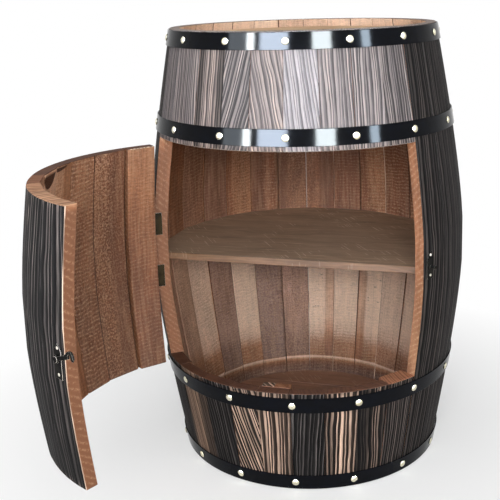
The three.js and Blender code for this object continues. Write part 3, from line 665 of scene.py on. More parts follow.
class Nodes:
    """Small helper that adds and links the nodes of one tree."""

    def __init__(self, tree):
        self.tree = tree

    def add(self, kind, **values):
        node = self.tree.nodes.new(kind)
        for key, value in values.items():
            setattr(node, key, value)
        return node

    def link(self, source, target):
        self.tree.links.new(source, target)

    def feed(self, socket, value):
        if isinstance(value, bpy.types.NodeSocket):
            self.link(value, socket)
        else:
            socket.default_value = value

    def math(self, operation, a, b=0.0, clamp=False):
        node = self.add("ShaderNodeMath", operation=operation, use_clamp=clamp)
        for socket, value in zip(node.inputs, (a, b)):
            self.feed(socket, value)
        return node.outputs[0]

    def times(self, *values):
        return reduce(lambda a, b: self.math("MULTIPLY", a, b), values)

    def plus(self, *values):
        return reduce(lambda a, b: self.math("ADD", a, b), values)

    def minus(self, a, b):
        return self.math("SUBTRACT", a, b)

    def away(self, x, y):
        """Distance of a point from the middle."""
        return self.math("SQRT", self.plus(self.times(x, x), self.times(y, y)))

    def mix(self, factor, a, b, blend="MIX"):
        node = self.add("ShaderNodeMix", data_type="RGBA", blend_type=blend)
        self.feed(node.inputs["Factor"], factor)
        for socket, value in ((node.inputs[6], a), (node.inputs[7], b)):
            plain = not isinstance(value, bpy.types.NodeSocket)
            self.feed(socket, (*tuple(value)[:3], 1) if plain else value)
        return node.outputs[2]

    def coats(self, base, *coats):
        """Lays coats over a base, each a colour and the masks that it is laid through."""
        for colour, *masks in coats:
            base = self.mix(self.times(*masks), base, colour)
        return base

    def tint(self, colour, level):
        """Multiplies a colour by one level."""
        grey = self.add("ShaderNodeCombineColor")
        for socket in grey.inputs:
            self.link(level, socket)
        return self.mix(1.0, colour, grey.outputs[0], "MULTIPLY")

    def attribute(self, name):
        return self.add("ShaderNodeAttribute", attribute_name=name).outputs["Vector"]

    def split(self, vector):
        node = self.add("ShaderNodeSeparateXYZ")
        self.link(vector, node.inputs[0])
        return node.outputs

    def noise(self, vector, stretch, detail=2.0, roughness=0.5, distortion=0.0):
        """Noise whose lumps per metre along each axis are given by the stretch."""
        spread = self.add("ShaderNodeVectorMath", operation="MULTIPLY")
        self.link(vector, spread.inputs[0])
        spread.inputs[1].default_value = stretch
        node = self.add("ShaderNodeTexNoise")
        self.link(spread.outputs[0], node.inputs["Vector"])
        node.inputs["Scale"].default_value = 1.0
        node.inputs["Detail"].default_value = detail
        node.inputs["Roughness"].default_value = roughness
        node.inputs["Distortion"].default_value = distortion
        return node.outputs["Fac"]

    def remap(self, value, low, high, to_low=0.0, to_high=1.0):
        node = self.add("ShaderNodeMapRange", clamp=True)
        for socket, number in zip(node.inputs[:5], (value, low, high, to_low, to_high)):
            self.feed(socket, number)
        return node.outputs[0]

    def group(self, name, **values):
        node = self.add("ShaderNodeGroup")
        node.node_tree = bpy.data.node_groups[name]
        for key, value in values.items():
            self.feed(node.inputs[key.capitalize()], value)
        return node.outputs


def new_group(name, numbers, outputs):
    """A shader node group that reads the grain and some numbers, and puts out masks."""
    group = bpy.data.node_groups.new(name, "ShaderNodeTree")
    sockets = group.interface
    sockets.new_socket("Grain", in_out="INPUT", socket_type="NodeSocketVector")
    for key, value in numbers.items():
        made = sockets.new_socket(key, in_out="INPUT", socket_type="NodeSocketFloat")
        made.default_value = value
    for output in outputs:
        sockets.new_socket(output, in_out="OUTPUT", socket_type="NodeSocketFloat")
    n = Nodes(group)
    source = n.add("NodeGroupInput").outputs
    return n, source, source["Grain"], n.add("NodeGroupOutput").inputs


def make_ring_group():
    """Growth rings of a log: a bright line in each, a lot drawn per ring, and the way across it."""
    n, source, grain, target = new_group(
        "Growth Rings", {"Waver": 0.004, "Width": 0.3}, ("Line", "Lot", "Part"))
    x, y, _ = n.split(grain)
    bend = n.minus(n.noise(grain, (18, 18, 6)), 0.5)
    shake = n.minus(n.noise(grain, (70, 70, 28), detail=1), 0.5)
    waver = source["Waver"]
    away = n.plus(n.away(x, y), n.times(bend, waver, 4.0), n.times(shake, waver))
    rings = n.math("DIVIDE", away, RING_SPACING)
    uneven = n.add("ShaderNodeTexNoise", noise_dimensions="1D")
    n.link(n.times(rings, 0.6), uneven.inputs["W"])
    uneven.inputs["Scale"].default_value = 1.0
    rings = n.plus(rings, n.times(uneven.outputs["Fac"], 1.3))
    part = n.math("FRACT", rings)
    lot = n.add("ShaderNodeTexWhiteNoise", noise_dimensions="1D")
    n.link(n.math("FLOOR", rings), lot.inputs["W"])
    start = n.minus(0.95, source["Width"])
    rise = n.remap(part, n.minus(start, 0.12), start)
    n.link(n.times(rise, n.remap(part, 0.92, 1.0, 1.0, 0.0)), target["Line"])
    n.link(lot.outputs["Value"], target["Lot"])
    n.link(part, target["Part"])


def make_fibre_group():
    """Fine fibres along the grain, broad clouds, and stretches where lines fade."""
    n, _, grain, target = new_group("Fibres", {}, ("Fibre", "Cloud", "Fade"))
    fibre = n.noise(grain, (1100, 1100, 40), detail=3, roughness=0.65)
    n.link(n.remap(fibre, 0.3, 0.7), target["Fibre"])
    cloud = n.noise(grain, (40, 40, 10), detail=4, roughness=0.6)
    n.link(n.remap(cloud, 0.32, 0.68), target["Cloud"])
    n.link(n.remap(n.noise(grain, (230, 230, 16)), 0.35, 0.6), target["Fade"])


def make_saw_group():
    """Marks that a saw left across a board, a finer set between them, and torn specks."""
    n, source, grain, target = new_group(
        "Saw Marks", {"Pitch": 0.007, "Slant": 0.2}, ("Marks", "Combing", "Specks", "Pits"))
    x, y, z = n.split(grain)
    bow = n.noise(grain, (34, 34, 30))
    along = n.plus(z, n.times(n.plus(x, y), source["Slant"]), n.times(bow, 0.012))
    part = n.math("PINGPONG", n.math("DIVIDE", along, source["Pitch"]), 1.0)
    broken = n.noise(grain, (420, 420, 380), detail=3, roughness=0.8)
    n.link(n.times(n.remap(part, 0.35, 0.95), n.remap(broken, 0.44, 0.62)), target["Marks"])
    comb = n.noise(grain, (130, 130, 760), roughness=0.6)
    n.link(n.remap(comb, 0.4, 0.66), target["Combing"])
    grit = n.noise(grain, (520, 520, 380), roughness=0.7)
    n.link(n.remap(grit, 0.5, 0.62), target["Specks"])
    n.link(n.remap(grit, 0.34, 0.46, 1.0, 0.0), target["Pits"])


def new_material(name):
    """The nodes of a new material, and the inputs of its Principled shader."""
    material = bpy.data.materials.new(name)
    material.use_nodes = True
    return Nodes(material.node_tree), material.node_tree.nodes["Principled BSDF"].inputs


def wood(name, waver, width=None):
    """Nodes, shader, grain, rings and fibres of a wood. Without a width, the piece holds it."""
    n, shader = new_material(name)
    grain = n.attribute("grain")
    if width is None:
        width = n.split(n.attribute("cut"))[2]
    rings = n.group("Growth Rings", grain=grain, waver=waver, width=width)
    return n, shader, grain, rings, n.group("Fibres", grain=grain)


def lay_surface(n, shader, colour, rough, specular, relief, depth, strength):
    """Colour, roughness, gloss and relief of a material."""
    n.link(colour, shader["Base Color"])
    n.feed(shader["Roughness"], rough)
    shader["Specular IOR Level"].default_value = specular
    bump = n.add("ShaderNodeBump")
    bump.inputs["Distance"].default_value = depth
    bump.inputs["Strength"].default_value = strength
    n.link(relief, bump.inputs["Height"])
    n.link(bump.outputs[0], shader["Normal"])


def darker(colour, share):
    return tuple(c * share for c in colour)


def charred_pine():
    """Burnt, brushed and lacquered pine, black to a grey partly of painted sheen, with pale grain
    lines.
    """
    colours = settings("colours")
    n, shader, _, rings, fibres = wood("charred pine", 0.0030)
    bleach, stripe, warm = n.split(n.attribute("tone"))
    paled_and_sheen = n.mix(warm, colours.bleached_and_sheen, colours.browned)
    cloudy = n.math("MULTIPLY", bleach, n.remap(fibres["Cloud"], 0.0, 1.0, 0.72, 1.2), clamp=True)
    valley = n.remap(rings["Part"], 0.0, 0.62, 0.35, 1.1)
    level = n.times(n.remap(fibres["Fibre"], 0.0, 1.0, 0.6, 1.35), valley)
    base = n.tint(n.mix(cloudy, colours.char, paled_and_sheen), level)
    line = n.mix(warm, colours.cool_grain, colours.warm_grain)
    line = n.tint(line, n.remap(fibres["Fibre"], 0.0, 1.0, 0.72, 1.1))
    mask = n.times(rings["Line"], stripe, n.remap(rings["Lot"], 0.0, 0.9, 0.22, 1.0))
    mask = n.math("MULTIPLY", mask, n.remap(fibres["Fade"], 0.0, 1.0, 0.4, 1.0), clamp=True)
    rough = n.remap(fibres["Cloud"], 0.0, 1.0, 0.48, 0.62)
    relief = n.plus(n.times(rings["Line"], 0.8), n.times(fibres["Fibre"], 0.35))
    lay_surface(n, shader, n.mix(mask, base, line), rough, 0.015, relief, 0.0005, 0.7)


def gouge_mask(n):
    """1 in the half disc that a slipped chisel left, flat at its top and wider than it is tall."""
    squeeze, lean, reach, blur, flat = 0.75, 0.3, 0.0155, 0.0005, 0.001
    x, z, _ = n.split(n.attribute("gouge"))
    x = n.plus(n.times(x, squeeze), n.times(z, lean))
    disc = n.remap(n.away(x, z), reach - blur, reach + blur, 1.0, 0.0)
    return n.times(disc, n.remap(z, -flat, flat, 1.0, 0.0))


def stained_pine():
    """Rough sawn pine, stained reddish brown, with saw marks and torn specks."""
    colours = settings("colours")
    n, shader, grain, rings, fibres = wood("stained pine", 0.005, 0.4)
    light, saw, speck = n.split(n.attribute("finish"))
    cool, _, _ = n.split(n.attribute("grey stain"))
    sawn = n.group("Saw Marks", grain=grain, pitch=0.0026, slant=0.05)
    dark = darker(colours.stained, 0.3)
    # Pale torn fibres that on light staves blend to unstained pine: partly painted glints on the
    # marks
    raised_and_glinting = n.mix(n.remap(light, 1.0, 1.6), colours.torn, colours.fresh_and_lit)
    deep = n.remap(light, 1.0, 2.0, 1.0, 0.38)
    greyed = n.mix(light, darker(colours.grey_stain, 0.5), colours.grey_stain)
    blot = n.remap(n.noise(grain, (90, 90, 190), detail=3, roughness=0.6), 0.62, 0.68)
    gouge = gouge_mask(n)
    # Lightness above 1 blends to unstained pine: below the shelf this is partly painted light and
    # sheen
    base = n.coats(
        n.mix(light, colours.stained, colours.stained_light),
        (colours.fresh_and_lit, n.remap(light, 1.0, 2.0)),
        (dark, n.remap(light, -1.6, 0.0, 0.95, 0.0)),
        (greyed, cool),
        (dark, rings["Line"], rings["Lot"], deep, 0.32),
        (dark, n.remap(fibres["Cloud"], 0.0, 0.9, 1.0, 0.0), deep, 0.6),
        (dark, sawn["Combing"], deep, 0.42),
        (raised_and_glinting, n.remap(fibres["Fade"], 0.5, 1.0), 0.12),
        (raised_and_glinting, sawn["Marks"], saw, 0.85),
        (dark, sawn["Pits"], speck, deep, 0.7),
        (raised_and_glinting, sawn["Specks"], speck, 0.5),
        (dark, n.remap(fibres["Fibre"], 0.0, 0.6, 1.0, 0.0), deep, 0.28),
        (colours.char, blot, n.remap(light, 1.95, 2.1, 0.0, 0.45)),
        (darker(colours.stained, 0.2), gouge))
    relief = n.plus(n.times(fibres["Fibre"], 0.3), n.times(sawn["Specks"], speck),
                    n.times(sawn["Marks"], saw))
    relief = n.minus(relief, n.times(gouge, 3.0))
    lay_surface(n, shader, base, 0.50, 0.05, relief, 0.0010, 0.9)


def sawn_pine():
    """Sawn edges: warm orange tan with fine saw marks."""
    colours = settings("colours")
    n, shader, grain, rings, fibres = wood("sawn pine", 0.003, 0.3)
    _, light, _ = n.split(n.attribute("cut"))
    sawn = n.group("Saw Marks", grain=grain, pitch=0.0042, slant=0.9)
    dark = darker(colours.sawn, 0.4)
    base = n.coats(
        n.mix(light, darker(colours.sawn, 0.45), colours.sawn),
        (colours.torn, n.remap(light, 1.0, 1.6, 0.0, 0.5)),
        (dark, rings["Line"], 0.35),
        (dark, n.remap(fibres["Cloud"], 0.0, 1.0, 0.55, 0.0)),
        (dark, sawn["Combing"], 0.25),
        (colours.torn, sawn["Marks"], n.remap(light, 0.3, 1.0, 0.3, 0.6)),
        (dark, n.remap(fibres["Fibre"], 0.0, 0.5, 0.3, 0.0)))
    lay_surface(n, shader, base, 0.6, 0.04, sawn["Marks"], 0.0004, 0.6)


def stave_ends():
    """End grain: weathered grey on the rim, stained dark on the sill, clean and pale on a new cut.
    """
    colours = settings("colours")
    n, shader, _, rings, fibres = wood("stave ends", 0.001, 0.35)
    grey, light, _ = n.split(n.attribute("cut"))
    base = n.coats(
        n.mix(light, darker(colours.stained, 0.22), colours.sawn),
        (colours.torn, n.remap(light, 1.0, 1.6, 0.0, 0.8)),
        (colours.rim, grey),
        (darker(colours.stained, 0.2), rings["Line"], 0.5),
        (darker(colours.sawn, 0.3), n.remap(fibres["Cloud"], 0.3, 1.0, 0.0, 0.4)))
    lay_surface(n, shader, base, 0.7, 0.04, rings["Line"], 0.0002, 0.5)


def rubbed_arris():
    """Edges rubbed down to bare wood, dark where the char is left."""
    colours = settings("colours")
    n, shader, _, rings, fibres = wood("rubbed arris", 0.002, 0.5)
    bare = n.math("ADD", n.times(rings["Line"], 0.9), n.times(fibres["Cloud"], 0.6), clamp=True)
    base = n.mix(bare, darker(colours.browned, 0.5), colours.cream)
    lay_surface(n, shader, base, 0.6, 0.04, fibres["Fibre"], 0.0003, 0.6)


def shaded_joint():
    """The deep side of an open joint, and the door's wide chamfer: dark brown painted shade."""
    stained = settings("colours").stained
    n, shader = new_material("shaded joint")
    fibres = n.group("Fibres", grain=n.attribute("grain"))
    base = n.mix(fibres["Cloud"], darker(stained, 0.1), darker(stained, 0.26))
    lay_surface(n, shader, base, 0.7, 0.03, fibres["Fibre"], 0.0003, 0.5)


def board_pine(name, colour, wear, specular=0.06):
    """Boards of the shelf, the floor and the heads, with grain, long scratches and pale cuts."""
    n, shader, grain, rings, fibres = wood(name, 0.006, 0.4)
    dark = darker(colour, 0.5)
    pale = tuple(min(1.0, c * 1.7 + 0.03) for c in colour)
    scratch = n.noise(grain, (300, 300, 9), detail=1, distortion=2.0)
    turned = n.add("ShaderNodeMapping")
    turned.inputs["Rotation"].default_value = (0, math.radians(55), 0)
    n.link(grain, turned.inputs["Vector"])
    slash = n.remap(n.noise(turned.outputs[0], (520, 60, 26), detail=0), 0.68, 0.71)
    where = n.remap(n.noise(grain, (22, 22, 22), detail=1), 0.49, 0.55)
    base = n.coats(
        colour,
        (dark, rings["Line"], n.remap(rings["Lot"], 0.0, 1.0, 0.1, 0.5)),
        (pale, n.remap(fibres["Cloud"], 0.0, 1.0, 0.0, 0.45)),
        (pale, n.remap(scratch, 0.64, 0.70, 0.0, wear)),
        (settings("colours").cream, slash, where, 0.6 * wear),
        (dark, n.remap(fibres["Fibre"], 0.0, 0.6, 0.35, 0.0)))
    rough = n.remap(fibres["Cloud"], 0.0, 1.0, 0.45, 0.6)
    lay_surface(n, shader, base, rough, specular, fibres["Fibre"], 0.0003, 0.5)


def metal(name, colour, stain, rough, metallic=0.0, specular=0.5):
    """A metal or enamel with clouded roughness and stains."""
    n, shader = new_material(name)
    place = n.add("ShaderNodeTexCoord").outputs["Object"]
    cloud = n.noise(place, (60, 60, 60), detail=4, roughness=0.6)
    base = n.mix(n.remap(cloud, 0.45, 0.65), colour, stain)
    shader["Metallic"].default_value = metallic
    lay_surface(n, shader, base, n.remap(cloud, 0.3, 0.7, rough * 0.75, rough * 1.3), specular,
                n.noise(place, (900, 900, 900)), 0.00005, 0.3)


# Operators


class BARREL_OT_finishes(bpy.types.Operator):
    """Make the node groups and materials"""

    bl_idname = "barrel.finishes"
    bl_label = "Finishes"

    def execute(self, context):
        colours = settings("colours")
        make_ring_group()
        make_fibre_group()
        make_saw_group()
        charred_pine()
        stained_pine()
        sawn_pine()
        stave_ends()
        rubbed_arris()
        shaded_joint()
        board_pine("shelf pine", colours.shelf, 1.0)
        board_pine("shelf edge pine", colours.shelf_edge, 0.2)
        board_pine("base pine", colours.base_board, 0.3)
        board_pine("head pine", colours.head, 0.4, specular=0.0)
        metal("black steel", colours.steel, (0.004, 0.005, 0.008), 0.09, specular=0.05)
        metal("nail brass", colours.nail, (0.38, 0.32, 0.20), 0.30, metallic=0.8)
        metal("aged brass in shade", colours.brass, (0.045, 0.030, 0.010), 0.50, specular=0.015)
        metal("antique nickel", colours.nickel, (0.020, 0.018, 0.015), 0.40, specular=0.02)
        metal("worn metal and glint", colours.worn_metal_and_glint, (0.40, 0.35, 0.27), 0.50, specular=0.1)
        return {"FINISHED"}


def full_outside(dice):
    """Outside finish of a full stave, drawn by lot."""
    return Outside(dice.uniform(0.01, 0.03), dice.uniform(0.15, 0.32), dice.uniform(0.2, 0.6),
                   dice.uniform(-0.03, 0.03), dice.uniform(0.0046, 0.0064),
                   dice.uniform(0.16, 0.26))


def hidden_interior(dice):
    """Inside finish of a full stave that doesn't show, drawn by lot."""
    plain = Inside(dice.uniform(0.0, 0.7), dice.choice((0.3, 0.6, 1.0)),
                   dice.choice((0.2, 0.5, 0.9)))
    return Interior(plain, plain, "dark", "")


def full_inside(seen, lot):
    """Finish up a full stave: turned bands, a painted highlight beside the bottom one, above and
    below the shelf.
    """
    sizes = settings("sizes")
    chime = sizes.chime_height
    top = FRAME_BOX[1].z
    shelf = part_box("shelf")[1].z

    def inside(across, z):
        if z > top - chime:
            return Inside(light=1.6 + 0.4 * lot, saw=0.1)
        # Bottom turned band, nearly black: stain and painted shade, as the band lies set back
        if z <= chime:
            return Inside(light=lot * 0.4 - 1.7, cool=0.2)
        # Bright line where the band steps back: a painted highlight on the step's edge
        if z < chime + 1.5 * sizes.howel_step:
            return Inside(light=2.0)
        if z > shelf:
            return inside_tone(seen.upper, across)
        drop = FOOT_SHADE * clamped((FOOT_TOP - z) / FOOT_FADE)
        return inside_tone(seen.lower, across, drop)

    return inside


def jamb_light(node):
    """Lightness up a full stave's edges, which are the jambs where they show."""
    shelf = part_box("shelf")[1].z

    def right_light(z):
        plain = 1.1 if node == FULL_STAVES[0] else 0.4
        return plain + 0.5 * clamped((shelf - z) / JAMB_FADE)

    def left_light(z):
        return 1.4 if DOOR_TOP - PALE_PATCH < z < DOOR_TOP + BARE_HEIGHT else 0.4

    return left_light if node == FULL_STAVES[-1] else right_light


class BARREL_OT_full_staves(bpy.types.Operator):
    """Make the staves that run the full height"""

    bl_idname = "barrel.full_staves"
    bl_label = "Full staves"

    def execute(self, context):
        for node in FULL_STAVES:
            dice = random.Random(f"{node} finish")
            outside = full_outside(dice)
            hidden = hidden_interior(dice)
            seen = INTERIOR.get(node, hidden)
            inside = full_inside(seen, dice.random())
            chamfer = settings("sizes").joint_chamfer if seen.first == "pale" else 0.0
            build_stave(node, "case", outside, inside, (RIM_GREY, jamb_light(node)),
                        *joint_looks(seen.first, seen.last), wide_first=chamfer)
        return {"FINISHED"}


def top_inside(across, z):
    chime = z > FRAME_BOX[1].z - settings("sizes").chime_height
    return Inside(light=1.9 if chime else 0.3)


def bottom_inside(across, z):
    return Inside(light=-0.3)


class BARREL_OT_front_staves(bpy.types.Operator):
    """Make the short staves above and below the doorway"""

    bl_idname = "barrel.front_staves"
    bl_label = "Front staves"

    def execute(self, context):
        for node, outside in zip(TOP_STAVES, TOP_FINISH):
            build_stave(node, "case", outside, top_inside, (HEADER_GREY, lambda z: 0.7))
        for node, outside, light in zip(BOTTOM_STAVES, BOTTOM_FINISH, SILL_LIGHT):
            build_stave(node, "case", outside, bottom_inside, (0.0, lambda z, top=light: top),
                        rubbed=("inner high",) if node in RUBBED_SILL else ())
        return {"FINISHED"}


def door_inside(inner):
    """Finish up a plank of the door, which is darker towards its foot."""
    shade = DOOR_EDGE_SHADE if inner is DOOR_INSIDE[0] else DOOR_SHADE

    def inside(across, z):
        return inside_tone(inner, across, shade * (DOOR_TOP - z) / (DOOR_TOP - DOOR_FOOT))

    return inside


class BARREL_OT_door_staves(bpy.types.Operator):
    """Make the staves of the door"""

    bl_idname = "barrel.door_staves"
    bl_label = "Door staves"

    def execute(self, context):
        planks = zip(DOOR_STAVES, DOOR_FINISH, DOOR_INSIDE, DOOR_EDGES, DOOR_TOPS, DOOR_CHAMFERS)
        for node, outside, inner, looks, light, chamfer in planks:
            rubbed, dark = joint_looks(*looks)
            if node == DOOR_STAVES[0]:
                rubbed.append("inner high")
            if node == DOOR_STAVES[-1]:
                rubbed.append("outer last")
            cut = (0.0, lambda z, top=light: top if z > DOOR_TOP - DOOR_CUT else 0.0)
            build_stave(node, "door", outside, door_inside(inner), cut, rubbed, dark,
                        wide_first=chamfer, gouge=DOOR_GOUGES.get(node))
        return {"FINISHED"}


def along_x(co):
    """Place in the log of a flat board that runs along X."""
    return co.yzx


def along_y(co):
    """Place in the log of a flat board that runs along Y."""
    return co.xzy


def build_head(node, slot, finish):
    """A head of several boards that run along X."""
    sizes = settings("fittings")
    low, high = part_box(node)
    count = max(2, round((high.y - low.y) / sizes.board_width))
    whole = bmesh.new()
    for i in range(count):
        dice = random.Random(f"{node} board {i}")
        board = clean_copy(node)
        for share, normal in ((i / count, -1), ((i + 1) / count, 1)):
            if 0 < share < 1:
                y = low.y + (high.y - low.y) * share - normal * BOARD_GAP
                cut_plane(board, (0, y, 0), (0, normal, 0), one_side=True)
        bmesh.ops.recalc_face_normals(board, faces=board.faces)
        break_edges(board, sizes.board_arris, angle=60)
        lay_grain(board, along_x, pith_offset(dice))
        add_mesh(whole, board)
    finish_piece(f"{node}_boards", whole, "case", slot, [finish], node)


class BARREL_OT_heads(bpy.types.Operator):
    """Make the top head and the bottom board"""

    bl_idname = "barrel.heads"
    bl_label = "Heads"

    def execute(self, context):
        build_head("top_head", "charred_head_pine", "head pine")
        build_head("bottom_board", "shelf_pine", "base pine")
        return {"FINISHED"}


class BARREL_OT_shelf(bpy.types.Operator):
    """Make the shelf"""

    bl_idname = "barrel.shelf"
    bl_label = "Shelf"

    def execute(self, context):
        bm = clean_copy("shelf")
        for face in bm.faces:
            face.material_index = 0 if abs(face.normal.z) > 0.5 else 1
        break_edges(bm, settings("fittings").shelf_arris, angle=60)
        lay_grain(bm, along_x, pith_offset(random.Random("shelf")))
        finishes = ("shelf pine", "shelf edge pine")
        finish_piece("shelf_board", bm, "case", "shelf_pine", finishes, "shelf")
        return {"FINISHED"}


class BARREL_OT_sill_block(bpy.types.Operator):
    """Make the offcut that is glued behind the sill, striped by its grain at one end"""

    bl_idname = "barrel.sill_block"
    bl_label = "Sill block"

    def execute(self, context):
        low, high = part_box("sill_block")
        striped_share = 0.45
        lean = math.radians(40)
        finishes = ("stained pine", "sawn pine", "charred pine")
        bm = clean_copy("sill_block")
        cut = low.lerp(high, striped_share).x
        cut_plane(bm, (cut, 0, 0), (1, 0, 0))
        for face in bm.faces:
            flat = abs(face.normal.z) > 0.5
            face.material_index = 2 if flat and face.calc_center_median().x < cut else int(not flat)
        break_edges(bm, settings("fittings").shelf_arris, angle=60)
        lay_grain(bm, along_y, pith_offset(random.Random("sill block")), lean)
        # Lightness, saw marks and specks, then the char's paleness, stripe and warmth, then the
        # greyness and lightness of the cuts and the width of the grain lines
        lay_value(bm, "finish", Vector((0.15, 0.3, 0.2)))
        lay_value(bm, "tone", Vector((0.35, 1.6, 1.0)))
        lay_value(bm, "cut", Vector((0, 0.5, 0.3)))
        lay_value(bm, "gouge", NO_GOUGE)
        finish_piece("sill_block_board", bm, "case", "stained_pine", finishes, "sill_block")
        return {"FINISHED"}


def nail_head(radius, height):
    """A domed nail head that stands on the XY plane."""
    bm = bmesh.new()
    bmesh.ops.create_uvsphere(bm, u_segments=16, v_segments=10, radius=radius)
    bmesh.ops.scale(bm, vec=(1, 1, height / radius), verts=bm.verts)
    cut_plane(bm, (0, 0, -NAIL_ROOT), (0, 0, -1), one_side=True)
    bmesh.ops.recalc_face_normals(bm, faces=bm.faces)
    return bm


def set_head(bm, head, place, outward):
    """Adds a nail or screw head to a piece, turned outward."""
    turn = outward.to_track_quat("Z", "Y").to_matrix().to_4x4()
    bmesh.ops.transform(head, matrix=Matrix.Translation(place) @ turn, verts=head.verts)
    add_mesh(bm, head)


def build_hoop(node):
    """A steel strap with rounded edges, nailed round."""
    sizes = settings("hoops")
    low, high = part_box(node)
    bm = bmesh.new()
    inner = [outer_radius(z) + sizes.seat for z in (low.z, high.z)]
    corners = [(inner[0], low.z), (inner[0] + sizes.thickness, low.z),
               (inner[1] + sizes.thickness, high.z), (inner[1], high.z)]
    section = [bm.verts.new((r, 0, z)) for r, z in corners]
    edges = [bm.edges.new((section[i], section[(i + 1) % 4])) for i in range(4)]
    bmesh.ops.spin(
        bm, geom=section + edges, cent=(0, 0, 0), axis=(0, 0, 1), dvec=(0, 0, 0),
        angle=2 * math.pi, steps=HOOP_STEPS, use_merge=True, use_duplicate=False)
    bmesh.ops.remove_doubles(bm, verts=bm.verts, dist=1e-7)
    bmesh.ops.recalc_face_normals(bm, faces=bm.faces)
    break_edges(bm, sizes.edge, angle=50, segments=2)
    shade(bm, angle=15)
    middle = (low.z + high.z) / 2
    radius = (corners[1][0] + corners[2][0]) / 2
    slope = math.atan2(corners[1][0] - corners[2][0], high.z - low.z)
    for i in range(sizes.nails):
        angle = sizes.first_nail + 2 * math.pi * i / sizes.nails
        head = nail_head(sizes.nail_radius, sizes.nail_height)
        # The foot of each nail head takes the strap's black, a painted shadow ring
        for face in head.faces:
            face.material_index = int(
                face.calc_center_median().z >= sizes.nail_height * SHADOW_RIM)
        outward = polar(math.cos(slope), angle, math.sin(slope))
        set_head(bm, head, polar(radius, angle, middle), outward)
    finishes = ("black steel", "nail brass")
    finish_piece(f"{node}_strap", bm, "case", "black_steel", finishes, node)


class BARREL_OT_hoops(bpy.types.Operator):
    """Make the hoops and their nails"""

    bl_idname = "barrel.hoops"
    bl_label = "Hoops"

    def execute(self, context):
        for node in HOOPS:
            build_hoop(node)
        return {"FINISHED"}


def plate_face(bm, outward):
    """The broadest flat face that looks outward: its middle, and its ends up and down."""
    face = max((f for f in bm.faces if f.normal.dot(outward) > 0.98), key=lambda f: f.calc_area())
    heights = [v.co.z for v in face.verts]
    return face.calc_center_bounds(), min(heights), max(heights)


def add_screws(bm, outward, inset, height, look):
    """Screw heads near the upper and lower end of a plate."""
    middle, low, high = plate_face(bm, outward)
    for z in (low + inset, high - inset):
        head = nail_head(settings("fittings").screw_radius, height)
        for face in head.faces:
            face.material_index = look
        set_head(bm, head, (middle.x, middle.y, z), outward)


def metal_fitting(node, arris):
    """A copy of a fitting, with its edges pale: partly rubbed metal, partly painted glints."""
    bm = clean_copy(node)
    for face in break_edges(bm, arris, angle=50):
        face.material_index = 1
    return bm


class BARREL_OT_hinges(bpy.types.Operator):
    """Make the butt hinges"""

    bl_idname = "barrel.hinges"
    bl_label = "Hinges"

    def execute(self, context):
        sizes = settings("fittings")
        pin = Vector(joint("door_swing")["pos_m"])
        across = Vector((0, 0, 1)).cross(Vector((pin.x, pin.y, 0))).normalized()
        opened = shut_turn().inverted().to_3x3()
        for level in ("upper", "lower"):
            for leaf, outward in (("case", across), ("door", opened @ -across)):
                node = f"hinge_{level}_{leaf}_leaf"
                bm = metal_fitting(node, sizes.hinge_arris)
                add_screws(bm, outward, sizes.hinge_screw_inset, sizes.flush_screw_height, 0)
                finishes = ("aged brass in shade", "worn metal and glint")
                finish_piece(f"{node}_brass", bm, leaf, "aged_brass", finishes, node)
        return {"FINISHED"}


class BARREL_OT_latch(bpy.types.Operator):
    """Make the hook latch"""

    bl_idname = "barrel.latch"
    bl_label = "Latch"

    def execute(self, context):
        sizes = settings("fittings")
        low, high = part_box("latch_keeper")
        beside = (low + high) / 2
        pivot = Vector(joint("hook_swing")["axis"])
        flush, domed = sizes.flush_screw_height, sizes.domed_screw_height
        parts = (("latch_plate", "door", pivot, flush), ("latch_hook", "hook", None, 0.0),
                 ("latch_keeper", "case", Vector((beside.x, beside.y, 0)), domed))
        for node, body, outward, screw_height in parts:
            bm = metal_fitting(node, sizes.latch_arris)
            if outward:
                # The latch's screw heads take the pale edge metal: painted glints
                add_screws(bm, outward.normalized(), sizes.latch_screw_inset, screw_height, 1)
            finishes = ("antique nickel", "worn metal and glint")
            finish_piece(f"{node}_nickel", bm, body, "antique_nickel", finishes, node)
        return {"FINISHED"}


def hang_lamp(lamp, front):
    """A soft panel at an angle round the barrel, facing a height on its axis."""
    light = bpy.data.lights.new(lamp.name, "AREA")
    light.shape = "RECTANGLE"
    light.size, light.size_y = lamp.size
    light.energy = lamp.radiance * math.pi * lamp.size[0] * lamp.size[1]
    light.color = lamp.colour
    panel = link_object(lamp.name, light)
    panel.location = polar(lamp.distance, front + math.radians(lamp.turn), lamp.height)
    away = panel.location - Vector((0, 0, lamp.aim))
    panel.rotation_euler = away.to_track_quat("Z", "Y").to_euler()
    panel.visible_camera = False
    panel.visible_diffuse = lamp.dull
    panel.visible_glossy = lamp.glossy


def set_camera(stage):
    """The camera as it stood for the photograph."""
    data = bpy.data.cameras.new("photo camera")
    data.lens, data.shift_x, data.shift_y = stage.lens, stage.shift_x, stage.shift_y
    data.sensor_width = 36
    camera = link_object("photo camera", data)
    camera.matrix_world = (
        Matrix.Translation(stage.camera_place)
        @ Matrix.Rotation(-stage.camera_heading, 4, "Z")
        @ Matrix.Rotation(math.pi / 2 - stage.camera_pitch, 4, "X")
        @ Matrix.Rotation(stage.camera_roll, 4, "Z"))
    bpy.context.scene.camera = camera


def seen(n):
    """1 where the camera, a mirror or a glass looks at the backdrop."""
    path = n.add("ShaderNodeLightPath").outputs
    return n.math("MAXIMUM", n.math("MAXIMUM", path["Is Camera Ray"], path["Is Glossy Ray"]),
                  path["Is Transmission Ray"])


def mix_shaders(n, factor, first, second, target):
    """Blends two shaders into an output node."""
    mix = n.add("ShaderNodeMixShader")
    for socket, source in zip(mix.inputs, (factor, first.outputs[0], second.outputs[0])):
        n.link(source, socket)
    n.link(mix.outputs[0], target.inputs["Surface"])


